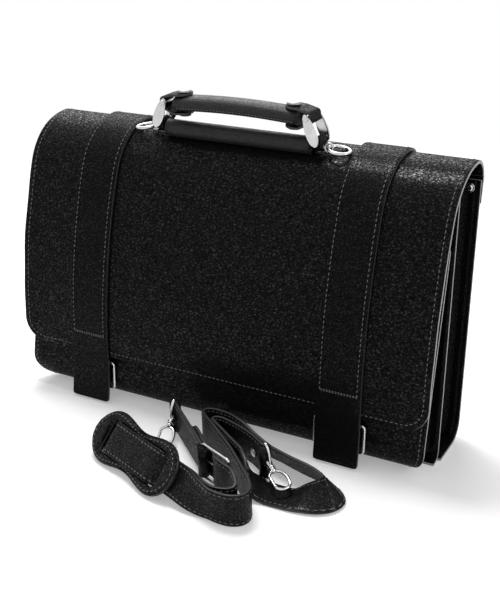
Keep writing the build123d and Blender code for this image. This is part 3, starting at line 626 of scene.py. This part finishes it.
sheet = flatSheet(2 * case["half"], frontLine.length, case["panel"], 3.0, (3.0, 0))
finishPiece(sheet, "frontHide", "case", leather, ("front_panel",), frontWrap, (paleEdge,))
seamX, seamTop = case["half"] - case["seam"], case["seam"]
low, high = frontLine.length - case["frontRowEnd"], backLine.length - case["backRowEnd"]
row = bmesh.new()
stitchRow(row, [(-seamX, low), (-seamX, seamTop), (seamX, seamTop), (seamX, low)])
sewRow(row, "frontStitches", "case", frontWrap)
row = bmesh.new()
for x in (-seamX, seamX):
    stitchRow(row, [(x, case["backRowEnd"]), (x, high)])
stitchRow(row, [(-seamX, high), (seamX, high)])
sewRow(row, "backStitches", "case", lengthwise(backLine))
print("walls done")

gusset = {
    "thick": 1.4, "edge": 196.0, "flange": 8.0, "fold": 22.0, "round": 4.0, "foot": 4.2, "rearFootRound": 6.0,
    "columns": 26, "rise": 4.0, "wander": 2.0, "gap": 0.8, "rearShort": 1, "frontShort": 3,
    "rearInset": 8.8, "dividerInset": 3.2, "dividerInsetHigh": 10, "frontGap": 1.7,
}


def gussetPiece(part, side, hand, rearAt, frontAt, high, footRound):
    # A side wall: a flange on each of its two panels and a soft fold that points into the case
    low, outer = gusset["foot"], gusset["edge"]
    root = outer - gusset["flange"]
    bm = gridOf(gusset["columns"], round((high - low) / gusset["rise"]))
    for v in bm.verts:
        level = low + (v.co.y + 0.5) * (high - low)
        rear, front = rearAt(level), frontAt(level)
        wander = noise.noise(Vector((side * 3.0, level * 0.018, rear * 0.01)))
        apex = outer - gusset["fold"] + gusset["wander"] * wander
        folds = [(outer, rear), (root, rear), (apex, (rear + front) / 2), (root, front), (outer, front)]
        pleat = bentLine(folds, min(gusset["round"], abs(rear - front) * 0.18))
        spot = pleat.at((v.co.x + 0.5) * pleat.length)[0]
        across = spot.x
        sink = footRound - level
        if sink > 0:
            across = min(across, case["half"] - footRound + sqrt(footRound**2 - sink**2) - 1.0)
        v.co = Vector((side * across, spot.y, level))
    bmesh.ops.recalc_face_normals(bm, faces=bm.faces)
    bmesh.ops.solidify(bm, geom=bm.faces[:], thickness=gusset["thick"] * 0.7)
    finishPiece(bm, f"{part}Gusset_{hand}", "case", softLeather, (f"{part}_gusset_{hand}",))


panelDeep = case["panel"] / cos(case["lean"])


def rearFace(z):
    # The back panel's inner face, less the round at its foot
    inset = gusset["rearInset"] * max(0.0, 1 - (z - 4) / (case["backRound"] - 4)) ** 1.5
    return backY(z) - panelDeep - gusset["gap"] - inset


def dividerBack(z):
    return dividerY(z) + gusset["gap"]


def dividerFront(z):
    inset = gusset["dividerInset"] * max(0.0, 1 - (z - 4) / gusset["dividerInsetHigh"])
    return dividerY(z) - panelDeep - gusset["gap"] - inset


def frontInner(z):
    # The front panel's inner face, which curves in at its foot
    inner = frontY(z) + case["panel"] * sqrt(1 + frontSlope**2)
    drop = case["frontRound"] - z
    if drop > 0:
        angle = atan2(case["pocketHeight"], case["frontTop"] - frontFoot)
        centre = frontFoot + case["frontRound"] / tan(angle / 2)
        bend = case["frontRound"] - case["panel"]
        inner = centre - sqrt(max(0.0, bend**2 - drop**2))
    return inner + gusset["frontGap"]


rearTop = case["dividerHeight"] - gusset["rearShort"]
pocketTop = case["pocketHeight"] - gusset["frontShort"]
for each in sides:
    gussetPiece("rear", *each, rearFace, dividerBack, rearTop, gusset["rearFootRound"])
    gussetPiece("front", *each, dividerFront, frontInner, pocketTop, case["footCorner"])
print("gussets done")


handle = {
    "y": 24.0, "pivotZ": 247.12, "roll": 7.5, "rollHalf": 69.0, "rollSag": 0.05, "rollEnd": 2.0,
    "gripHalf": 58.0, "gripWide": 22.0, "gripThick": 13.0, "gripSquare": 2.6, "gripEnd": 4.0, "arch": 2.4,
    "groove": 0.05, "grooveAt": 0.45, "grooveWide": 0.9, "row": 55.0, "rowPitch": 3.0, "rowOut": 0.93,
    "topX": 67.5, "topZ": 271.12, "topDrop": 1.4, "tabWide": 19.0, "tabReach": 45.0,
}
tab = {"thick": 2.0, "pinReach": 3.0, "pinHigh": 3.6, "endRound": 9.4, "gap": 0.4, "bend": 2.4}
gripZ = handle["topZ"] - handle["topDrop"]


def roundBar(name, body, node, half, height, endRound, profile, around, cell, bow=None):
    # A bar along X: a grid whose Y runs round the bar, closed at its seam and its softened ends
    length = 2 * half
    capColumns = 4
    columns = round(length / cell) + 2 * capColumns
    bm = gridOf(columns, around)
    for v in bm.verts:
        column = round((v.co.x + 0.5) * columns)
        near = min(column, columns - column)
        if near <= capColumns:
            turn = pi / 2 * near / capColumns
            x, shrink = half - endRound * (1 - sin(turn)), endRound * (1 - cos(pi / 2 - turn))
        else:
            along = (near - capColumns) / (columns - 2 * capColumns)
            x, shrink = half - endRound - (length - 2 * endRound) * along, 0.0
        x = -x if column * 2 < columns else x
        y, z = profile(v.co.y * tau)
        scale = max(0.05, 1 - shrink / hypot(y, z))
        v.co = Vector((x, y * scale, z * scale + (bow(x) if bow else 0.0))) + Vector((0, handle["y"], height))
    bmesh.ops.remove_doubles(bm, verts=bm.verts, dist=0.001)
    bmesh.ops.holes_fill(bm, edges=bm.edges, sides=0)
    return finishPiece(bm, name, body, rollLeatherPaintedLight, (node,))


def rollProfile(angle):
    sag = 1.0 + handle["rollSag"] * cos(angle) ** 2
    return handle["roll"] * cos(angle) * sag, handle["roll"] * sin(angle)


def gripProfile(angle):
    # A pinched oval: full above, drawn in where the two hides are sewn along the lower edge
    thick = handle["gripThick"] / 2
    y, z = squareOval(angle, 2 / handle["gripSquare"], handle["gripWide"] / 2, thick)
    depth = exp(-(((z + thick * handle["grooveAt"]) / handle["grooveWide"]) ** 2))
    return y * (1 - handle["groove"] * depth), z


def gripBow(x):
    return handle["arch"] * (1 - (x / handle["gripHalf"]) ** 2)


rollPlace = (handle["rollHalf"], handle["pivotZ"], handle["rollEnd"])
gripPlace = (handle["gripHalf"], gripZ, handle["gripEnd"])
# The roll and grip take the copy of the hide painted lighter for their lit tops
roundBar("handleRoll", "flap", "handle_roll", *rollPlace, rollProfile, 32, 3.0)
roundBar("handleGrip", "handle", "handle_grip", *gripPlace, gripProfile, 40, 2.0, gripBow)


def gripSeam(face):
    def wrap(co):
        z = -handle["gripThick"] / 2 * handle["grooveAt"] + co.y
        y = face * (handle["gripWide"] / 2 * handle["rowOut"] + stitch["proud"] + co.z)
        return Vector((co.x, handle["y"] + y, gripZ + z + gripBow(co.x)))
    return wrap


row = bmesh.new()
stitchRow(row, [(-handle["row"], 0), (handle["row"], 0)], 0.0, handle["rowPitch"])
backRow = row.copy()
sewRow(row, "gripStitchesFront", "handle", gripSeam(-1))
sewRow(backRow, "gripStitchesBack", "handle", gripSeam(1))

upperZ = gripZ + handle["gripThick"] / 2 + tab["thick"] / 2 + tab["gap"]
lowerZ = gripZ - handle["gripThick"] / 2 - tab["thick"] / 2 - tab["gap"]
outer, gripEnd = handle["topX"] + tab["pinReach"], handle["gripHalf"] + 1
points = [
    (handle["tabReach"], upperZ + 0.8), (gripEnd, upperZ), (outer, handle["topZ"] + tab["pinHigh"]),
    (outer, handle["topZ"] - tab["pinHigh"]), (gripEnd, lowerZ), (handle["tabReach"], lowerZ + 0.6),
]
line = bentLine(points, tab["bend"])
for side, hand in sides:
    def tabWrap(co, side=side):
        spot, ahead = line.at(max(0.0, min(line.length, co.y)))
        height = co.z + tab["thick"] / 2
        return Vector((side * (spot.x - ahead.y * height), handle["y"] + co.x, spot.y + ahead.x * height))

    sheet = flatSheet(handle["tabWide"], line.length, tab["thick"], 1.2, (tab["endRound"],) * 2, rim=0.5)
    finishPiece(sheet, f"handleTab_{hand}", "handle", strapLeather, (f"handle_tab_{hand}",), tabWrap, (edge,))
print("handle done")


# Shoulder strap
sling = {
    "wide": 28.0, "thick": 2.6, "gap": 0.5, "row": 2.6, "rowEnd": 3.0, "slot": 33.0,
    "padSpot": (-17.0, -130.7), "padTurn": -21.0, "padTilt": radians(50),
    "buckle": (38.2, -113.3), "buckleTurn": -22.0, "wire": 2.6, "play": 0.6,
    "hookOne": (82.5, -91.2), "hookTwo": (-20.0, -63.5), "foldThick": 3.2,
}
pad = {
    "lobe": 23.0, "lobeAt": 31.0, "waist": 18.4, "thick": 3.0, "row": 3.2, "swell": 1.9, "fill": 0.3,
    "slotWide": 10.0, "slotLong": 30.0, "slotSquare": 0.45, "rimEnd": 2.2, "channelEnd": 2.0,
}
stand = sling["wide"] / 2 + sling["gap"]
held = sling["gap"] + sling["wire"] + sling["play"] + sling["wide"] / 2
flat = sling["gap"] + sling["thick"] / 2
over = pad["thick"] / 2 + sling["gap"] + sling["thick"] / 2
under = -over
hindmost = under - sling["thick"] - sling["gap"]
slot = sling["slot"]


def heading(angle):
    return Vector((cos(radians(angle)), sin(radians(angle)), 0))


# The pad leans back on its long lower edge
padAlong = heading(sling["padTurn"])
tiltRun, tiltRise = cos(sling["padTilt"]), sin(sling["padTilt"])
padAcross = Vector((-padAlong.y * tiltRun, padAlong.x * tiltRun, tiltRise))
padFace = padAlong.cross(padAcross)
padHeight = sling["gap"] + pad["lobe"] * tiltRise + pad["thick"] / 2 * tiltRun
padMiddle = Vector((*sling["padSpot"], padHeight))


def onPad(along, rise):
    return (*(padMiddle + padAlong * along + padFace * rise), padAcross)


def onBuckle(along, behind):
    ahead = heading(sling["buckleTurn"])
    spot = Vector((*sling["buckle"], held)) + ahead * along + Vector((-ahead.y, ahead.x, 0)) * behind
    return (*spot, 0)


# Stations as it lies: x, y, middle height and lean, by default those of a strap that stands on its edge
slingRoute = [
    (10, -84.2, held), (25, -96.6, held), onBuckle(-6, 5), onBuckle(3, 4.4), onBuckle(10, 3.2),
    onBuckle(15, 0), onBuckle(20, -2.9), onBuckle(27, -3.6), onBuckle(33, -3.6), onBuckle(41, -3.8),
    (81, -138, 16.5), (85.5, -143.5, 15.5), (85.5, -149.2), (80, -153.8), (71, -155.2),
    (60, -153.9, 14.6, -10), (50, -151, 15.2, -25), onPad(58, hindmost), onPad(30, hindmost),
    onPad(0, hindmost), onPad(-30, hindmost), onPad(-44, hindmost), onPad(-46, (hindmost + under) / 2),
    onPad(-44, under), onPad(-slot - 7, under), onPad(-slot - 3.2, under + 0.5), onPad(-slot, 0),
    onPad(3.2 - slot, over - 0.5), onPad(8 - slot, over), onPad(0, over), onPad(slot - 8, over),
    onPad(slot - 3.2, over - 0.5), onPad(slot, 0), onPad(slot + 3.2, under + 0.5), onPad(slot + 7, under),
    onPad(58, under), (50, -154.6, 16.3, 25), (60, -157.6, 15.2, 12), (70, -159.4), (79, -160.6),
    (88, -160), (95.5, -156), (98.5, -149), (96.5, -141), (89, -131.5), (76, -119), (56, -100.5),
    (38, -86), (22, -73.5), (12, -66.5), (6.5, -61), (7.5, -55.5), (15, -53), (30, -54.5),
    (46, -58.5, 14.2, -10), (62, -63.5, 13.4, -25), (82, -71, 12.7, -35), (104, -78, 12.7, -35),
    (122, -82.5, 12.7, -35), (133, -85.6, 12.4, -38), (141.5, -90.5, 12.1, -40), (145.5, -97, 11.8, -42),
    (143.5, -103.3, 11.2, -46), (136.5, -107.6, 9.6, -55), (126, -109.3, 6.5, -70),
    (117, -109.8, 3.2, -84), (111, -110, flat, -90), (96, -110.5, flat, -90), (88, -111, 4.8, -103),
    (80, -105.6, 11.3, -135), (73, -102.5, 14, -162), (64, -97.5, stand, -180), (50, -88.5), (36, -79),
    (25, -71.8), (20.2, -68.2), (20, -64.9), (24.5, -62.8), (32, -64), (46, -69.5, 15.4),
    (64, -79, held - 0.5), (80.5, -89.9, held),
]


class Ribbon:
    # A smooth strap through stations of a place and either its lean or its direction across
    def __init__(self, stations, steps=6):
        spots = [Vector(s[:3]) for s in stations]
        last = len(spots) - 1
        across = Vector((0, 0, 1))
        crosses = []
        for i, station in enumerate(stations):
            ahead = (spots[min(i + 1, last)] - spots[max(i - 1, 0)]).normalized()
            wide = station[3]
            if not isinstance(wide, Vector):
                lean = radians(wide)
                sideways = Vector((-ahead.y, ahead.x, 0)).normalized()
                wide = Vector((0, 0, 1)) * cos(lean) + sideways * sin(lean)
            wide = -wide if wide.dot(across) < 0 else wide
            across = (wide - ahead * wide.dot(ahead)).normalized()
            crosses.append(across)
        self.frames = []
        for i in range(last):
            before, after = spots[max(i - 1, 0)], spots[min(i + 2, last)]
            for k in range(steps + (i == last - 1)):
                t = k / steps
                a, b = spots[i], spots[i + 1]
                pull, push = (b - before) / 2, (after - a) / 2
                spot = (
                    a * (2 * t**3 - 3 * t**2 + 1) + pull * (t**3 - 2 * t**2 + t)
                    + b * (3 * t**2 - 2 * t**3) + push * (t**3 - t**2)
                )
                self.frames.append((spot, crosses[i].lerp(crosses[i + 1], t).normalized()))
        self.lengths = [0.0]
        for (a, _), (b, _) in zip(self.frames, self.frames[1:]):
            self.lengths.append(self.lengths[-1] + (b - a).length)
        self.length = self.lengths[-1]
        self.mark = 0

    def at(self, along):
        along = max(0.0, min(self.length - 1e-4, along))
        i = min(self.mark, len(self.lengths) - 2)
        while self.lengths[i] > along:
            i -= 1
        while self.lengths[i + 1] < along:
            i += 1
        self.mark = i
        t = (along - self.lengths[i]) / max(1e-9, self.lengths[i + 1] - self.lengths[i])
        spot = self.frames[i][0].lerp(self.frames[i + 1][0], t)
        wide = self.frames[i][1].lerp(self.frames[i + 1][1], t).normalized()
        before = self.frames[max(0, i - 1)][0]
        after = self.frames[min(len(self.frames) - 1, i + 2)][0]
        ahead = (after - before).normalized()
        wide = (wide - ahead * wide.dot(ahead)).normalized()
        return spot, wide, wide.cross(ahead)

    def wrap(self, lift=0.0):
        def place(co):
            spot, wide, face = self.at(co.y)
            return spot + wide * co.x + face * (co.z + lift)
        return place


def strapPiece(name, node, ribbon, ends=(0, 0)):
    # A sewn strap: two hides, cut edges, and a row of stitches along each edge on both faces
    sheet = flatSheet(sling["wide"], ribbon.length, sling["thick"], 2.2, ends, rim=0.6)
    finishPiece(sheet, name, "sling", slingLeather, (node,), ribbon.wrap(sling["thick"] / 2), (edge,))
    row = bmesh.new()
    reach = sling["wide"] / 2 - sling["row"]
    for height in (sling["thick"] / 2 + 0.08, -sling["thick"] / 2 - 0.08):
        for shift in (-1, 1):
            x, start = shift * reach, sling["rowEnd"]
            stitchRow(row, [(x, start), (x, ribbon.length - start)], height)
    sewRow(row, name + "Stitches", "sling", ribbon.wrap())


slingStations = [(*s, *(stand, 0)[len(s) - 2:]) for s in slingRoute]
strapPiece("shoulderStrap", "shoulder_strap", Ribbon(slingStations), (12.0, 0))
shortEnds = [Vector((*sling[key], held)) for key in ("hookTwo", "buckle")]
shortStations = [(*shortEnds[0].lerp(shortEnds[1], i / 4), 0) for i in range(5)]
strapPiece("buckleStrap", "buckle_strap", Ribbon(shortStations))


def foldedEnd(name, spot, wire, tall):
    # The strap's fold round a bar, as a short thick tube
    outer = wire + sling["foldThick"]
    bm = bmesh.new()
    bmesh.ops.create_cone(bm, cap_ends=False, segments=28, radius1=outer, radius2=outer, depth=tall)
    bmesh.ops.translate(bm, vec=(*spot, held), verts=bm.verts)
    made = bmesh.ops.extrude_face_region(bm, geom=bm.faces[:], use_keep_orig=True)["geom"]
    inner = [v for v in made if isinstance(v, bmesh.types.BMVert)]
    toAxis = Matrix.Translation((-spot[0], -spot[1], 0))
    bmesh.ops.scale(bm, vec=(wire / outer, wire / outer, 1), verts=inner, space=toAxis)
    finishPiece(bm, name, "sling", slingLeather)


foldedEnd("foldOne", sling["hookOne"], 1.7, sling["wide"] - 0.4)
foldedEnd("foldTwo", sling["hookTwo"], 1.7, sling["wide"] - 0.6)
foldedEnd("foldBuckle", sling["buckle"], 1.5, sling["wide"] - 0.6)


def padHalf(u):
    # Half width of the pad at a distance from its middle: two round lobes with a smooth waist
    lobe = sqrt(max(0.0, pad["lobe"] ** 2 - (abs(u) - pad["lobeAt"]) ** 2))
    if abs(u) > pad["lobeAt"]:
        return lobe
    mix = 0.5 + 0.5 * cos(pi * min(1.0, abs(u) / pad["lobeAt"]))
    return pad["lobe"] - (pad["lobe"] - pad["waist"]) * mix


def padOutline(inset=0.0, steps=72):
    reach = pad["lobeAt"] + pad["lobe"]
    points = []
    for turn in turns(steps):
        u = reach * cos(turn)
        v = copysign(padHalf(u), sin(turn)) if abs(sin(turn)) > 1e-6 else 0.0
        points.append(Vector((u, v)))
    if inset:
        closer = []
        for i, p in enumerate(points):
            along = (points[(i + 1) % steps] - points[i - 1]).normalized()
            closer.append(p + Vector((-along.y, along.x)) * inset)
        points = closer
    return points


def slotOutline(centre, steps=28):
    wide, high = pad["slotWide"] / 2, pad["slotLong"] / 2
    spots = [squareOval(turn, pad["slotSquare"], wide, high) for turn in turns(steps)]
    return [(centre + x, y) for x, y in spots]


def padWrap(co):
    # The rim and the lobe ends are filled and stand above the channel that the strap runs in
    outside = max(abs(co.y) - sling["wide"] / 2 - 0.3, abs(co.x) - slot - pad["slotWide"] / 2 - 0.8)
    rim = max(0.0, min(1.0, outside / pad["channelEnd"], (padHalf(co.x) - abs(co.y)) / pad["rimEnd"]))
    lift = pad["thick"] / 2 + co.z + (pad["swell"] * rim if co.z > -pad["thick"] / 2 else 0.0)
    return padMiddle + padAlong * co.x + padAcross * co.y + padFace * lift


bm = flatShape([padOutline(), slotOutline(-slot), slotOutline(slot)], 2.6)
thicken(bm, pad["thick"], 0.8)
padPiece = finishPiece(bm, "shoulderPad", "sling", slingLeather, ("shoulder_pad",), padWrap, (edge,))
row = bmesh.new()
stitchRow(row, padOutline(pad["row"]), closed=True)
sewRow(row, "padStitches", "sling", padWrap)
print("shoulder strap done")


# Small parts that keep their CAD shape: merged copies with softened edges and smooth faces
eased = {"merge": 1e-6, "flat": 0.01, "crease": radians(34), "segments": 2}


def easedCopy(node, material, width):
    bm = bmesh.new()
    bm.from_mesh(nodes[node].data)
    bmesh.ops.remove_doubles(bm, verts=bm.verts, dist=eased["merge"])
    bmesh.ops.dissolve_limit(bm, angle_limit=eased["flat"], verts=bm.verts, edges=bm.edges)
    for seam in bm.edges:
        seam.smooth = len(seam.link_faces) != 2 or seam.calc_face_angle() < eased["crease"]
    bmesh.ops.scale(bm, vec=(1000,) * 3, verts=bm.verts)
    piece = finishPiece(bm, node + "_eased", nodes[node]["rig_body"], material, (node,))
    bevel = piece.modifiers.new("softEdges", "BEVEL")
    bevel.width = width * 0.001
    bevel.segments = eased["segments"]
    bevel.limit_method = "ANGLE"
    bevel.angle_limit = eased["crease"]
    piece.modifiers.new("evenShade", "WEIGHTED_NORMAL").keep_sharp = True


for _, hand in sides:
    easedCopy(f"roll_loop_{hand}", strapLeather, 0.5)
    easedCopy(f"closure_chape_{hand}", strapLeather, 0.5)
polished = [
    "gusset_stud_left", "gusset_stud_right", "closure_loop_left", "closure_loop_right", "chape_rivets",
    "strap_ring_left", "strap_ring_right", "handle_pin_left", "handle_pin_right", "strap_buckle",
    "strap_prong", "strap_rivet", "hook_gate_one", "hook_gate_two",
]
for name in polished:
    easedCopy(name, nickel, 0.25)
for _, hand in sides:
    easedCopy(f"cap_rivet_{hand}", capMetal, 0.4)
easedCopy("roll_rod", steel, 0.2)

# Snap hooks: bent wire and turned beads, drawn in the plane of the hook's way out and its side
hook = {
    "eyeReach": 9.0, "wire": 1.3, "steps": 12, "around": 20, "weld": 0.001, "start": 3.0,
    "eye": [
        (0, 0), (0, -13), (0, -16.4), (3, -16.6), (6.5, -12), (9, -4),
        (9, 4), (6.5, 12), (3, 16.6), (0, 16.4), (0, 13),
    ],
    "bow": [
        (1.2, 0.6), (3.2, 1.8), (4.6, 5.0), (9.0, 7.4), (14.5, 7.8), (20.4, 6.4), (22.2, 1.5), (21.6, -3.6),
        (17.9, -6.2),
    ],
    "stub": [(1.2, -0.6), (3.4, -2.0), (5.6, -5.4), (7.9, -6.0)],
    "collar": [
        (-3.0, 1.6), (-3.0, 2.7), (-2.5, 3.2), (-1.9, 3.2), (-1.4, 2.6),
        (1.4, 2.6), (1.9, 3.2), (2.5, 3.2), (3.0, 2.7), (3.0, 1.6),
    ],
    "bead": [
        (-7.4, 0.0), (-7.4, 1.8), (-6.6, 1.8), (-6.6, 1.2), (0.2, 1.2), (0.2, 2.3),
        (0.7, 2.8), (1.6, 2.8), (2.4, 2.2), (4.2, 1.9), (4.6, 0.0),
    ],
}


def bendWire(bm, line, radius, closed):
    # A round wire along a smooth curve, added to the piece's mesh
    curve = bpy.data.curves.new("wire", "CURVE")
    curve.dimensions = "3D"
    curve.bevel_depth = radius
    curve.bevel_resolution = 3
    curve.use_fill_caps = True
    spline = curve.splines.new("NURBS")
    spline.points.add(len(line) - 1)
    for point, spot in zip(spline.points, line):
        point.co = (*spot, 1.0)
    spline.order_u = 4 if closed else 3
    spline.use_cyclic_u = closed
    spline.use_endpoint_u = not closed
    spline.resolution_u = hook["steps"]
    holder = bpy.data.objects.new("wire", curve)
    mesh = bpy.data.meshes.new_from_object(holder)
    bm.from_mesh(mesh)
    bpy.data.objects.remove(holder)


def turnBead(bm, profile, place):
    # A turned shape: its profile of places along and distances from the axis, spun once round
    spots = [bm.verts.new(place @ Vector((along, away, 0))) for along, away in profile]
    edges = [bm.edges.new(pair) for pair in zip(spots, spots[1:])]
    bmesh.ops.spin(
        bm, geom=spots + edges, cent=place.translation, axis=place.to_3x3() @ Vector((1, 0, 0)),
        angle=tau, steps=hook["around"], use_merge=True,
    )


# Stirrups: two leaf-shaped plates, full near the foot and slim at the pin, on a foot bar
stirrup = {
    "footX": 75.0, "rise": 5.6, "half": 10.9, "thick": 1.4, "bar": 1.5, "end": 4.0, "full": 5.9, "slim": 2.2,
    "edge": 0.35, "cell": 2.5,
}
footSpot = Vector((stirrup["footX"], handle["pivotZ"] + stirrup["rise"]))
topSpot = Vector((handle["topX"], handle["topZ"]))
leafLength = (topSpot - footSpot).length
leafWay = (topSpot - footSpot) / leafLength


def leafOutline(steps=40):
    points = []
    for turn in turns(steps):
        wide = stirrup["full"] - stirrup["slim"] * (1 + cos(turn)) / 2
        reach = leafLength / 2 + stirrup["end"]
        points.append((sin(turn) * wide, leafLength / 2 + cos(turn) * reach))
    return points


for side, hand in sides:
    whole = bmesh.new()
    for reach in (-1, 1):
        plate = flatShape([leafOutline()], stirrup["cell"])
        thicken(plate, stirrup["thick"], stirrup["edge"])
        for v in plate.verts:
            spot = footSpot + leafWay * v.co.y + Vector((leafWay.y, -leafWay.x)) * v.co.x
            y = handle["y"] + reach * stirrup["half"] + v.co.z + stirrup["thick"] / 2
            v.co = Vector((side * spot.x, y, spot.y))
        mesh = meshOf(plate, "plate")
        whole.from_mesh(mesh)
        bpy.data.meshes.remove(mesh)
    barX, barZ = side * footSpot.x, footSpot.y
    bar = [Vector((barX, handle["y"] + reach * stirrup["half"], barZ)) for reach in (-1, 0, 1)]
    bendWire(whole, bar, stirrup["bar"], False)
    finishPiece(whole, f"stirrupPlates_{hand}", "handle", nickel, (f"stirrup_{hand}",))

# Each hook's place, the way it points and how far it hangs
hooks = [("one", sling["hookOne"], -34.0, 18.0), ("two", sling["hookTwo"], -84.0, 35.0)]
for order, foot, turn, fall in hooks:
    eyeNode, hookNode = f"hook_eye_{order}", f"snap_hook_{order}"
    out = heading(turn)
    side = Vector((-out.y, out.x, 0))
    drop = radians(fall)
    way = out * cos(drop) - Vector((0, 0, sin(drop)))
    middle = Vector((*foot, held)) + out * hook["eyeReach"]
    level = Matrix((way, side, way.cross(side))).transposed().to_4x4()
    bm = bmesh.new()
    loop = [Vector((*foot, held + high)) + out * along for along, high in hook["eye"]]
    bendWire(bm, loop, hook["wire"], True)
    turnBead(bm, hook["collar"], Matrix.Translation(middle) @ level)
    bmesh.ops.remove_doubles(bm, verts=bm.verts, dist=hook["weld"])
    finishPiece(bm, f"hookEye_{order}", nodes[eyeNode]["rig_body"], nickel, (eyeNode,))
    bm = bmesh.new()
    place = Matrix.Translation(middle + way * hook["start"]) @ level
    for key in ("bow", "stub"):
        bendWire(bm, [place @ Vector((along, across, 0)) for along, across in hook[key]], hook["wire"], False)
    turnBead(bm, hook["bead"], place)
    bmesh.ops.remove_doubles(bm, verts=bm.verts, dist=hook["weld"])
    finishPiece(bm, f"snapHook_{order}", nodes[hookNode]["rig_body"], nickel, (hookNode,))

# Hidden inside the case and the grip, so they keep their CAD meshes
for name in ("base_board", "handle_core"):
    mesh = nodes[name].data
    mesh.materials.clear()
    mesh.materials.append(stiffener)
print("hardware done")


# Floor, light and camera
room = {"floor": 3.0, "tone": 0.88, "glow": 0.3, "clearFrom": 0.42, "clearTo": 0.95, "world": 0.42}


def whiteWhereSeen(tree):
    # 1 for what the camera, a reflection or a glass sees, 0 for what only lights the object
    rays = tree.nodes.new("ShaderNodeLightPath").outputs
    camera, glossy, clear = (Wire(tree, rays[f"Is {k} Ray"]) for k in ("Camera", "Glossy", "Transmission"))
    return (camera + glossy + clear).math("MINIMUM", 1.0)


# White paper that keeps the shadow near the object and fades into the white beyond
paper = Finish("floorPaper")
distance = paper.add("ShaderNodeVectorMath", {"operation": "LENGTH"}, i0=paper.place).outputs["Value"]
paper.link(1 - paper.steps(distance, room["clearFrom"], room["clearTo"]), "Alpha")
paper.fix("Base Color", (room["tone"],) * 3 + (1,))
paper.fix("Roughness", 0.9)
paper.fix("Specular IOR Level", 0.0)
paper.fix("Emission Strength", 1.0)
paper.link(paper.between(whiteWhereSeen(paper.tree), (0, 0, 0), (room["glow"],) * 3), "Emission Color")
floor = putIn("floor", meshOf(gridOf(2, 2, room["floor"]), "floor"))
floor.data.materials.append(paper.material)

world = bpy.data.worlds.new("studio")
scene.world = world
world.use_nodes = True
backdrop = world.node_tree.nodes["Background"].inputs
backdrop["Color"].default_value = (1, 1, 1, 1)
strength = whiteWhereSeen(world.node_tree) * (1 - room["world"]) + room["world"]
world.node_tree.links.new(strength.socket, backdrop["Strength"])


# Each lamp's name, place, aim, width and height, and power
lamps = [
    ("keyLight", (-0.3, 0.28, 1.5), (0, 0, 0.15), (0.5, 0.4), 14),
    ("backLight", (-0.65, 1.0, 0.95), (0, 0, 0.2), (1.2, 0.8), 11),
    ("rightLight", (1.5, 0.1, 0.8), (0, 0, 0.12), (0.5, 0.9), 4),
]
for name, spot, aim, size, power in lamps:
    light = bpy.data.lights.new(name, "AREA")
    light.shape = "RECTANGLE"
    light.size, light.size_y = size
    light.energy = power
    holder = putIn(name, light)
    holder.location = spot
    holder.rotation_euler = (Vector(aim) - Vector(spot)).to_track_quat("-Z", "Y").to_euler()

# The photograph's own view: the focal length is in pixels of its height
view = {
    "f": 1068.714, "photoHigh": 600, "sensor": 36.0, "place": (0.4340, -0.73365, 0.48629),
    "az": 29.397, "el": 24.057, "roll": -1.272,
}
az, el, roll = (radians(view[k]) for k in ("az", "el", "roll"))
forward = Vector((-sin(az) * cos(el), cos(az) * cos(el), -sin(el)))
right = Vector((cos(az), sin(az), 0))
up = right.cross(forward)
rightRolled = right * cos(roll) + up * sin(roll)
upRolled = -right * sin(roll) + up * cos(roll)
cameraData = bpy.data.cameras.new("camera")
cameraData.sensor_width = view["sensor"]
cameraData.lens = view["f"] * view["sensor"] / view["photoHigh"]
camera = putIn("camera", cameraData)
turn = Matrix((rightRolled, upRolled, -forward)).transposed().to_4x4()
camera.matrix_world = Matrix.Translation(view["place"]) @ turn
scene.camera = camera
scene.view_settings.view_transform = "Standard"

print("scene ready")
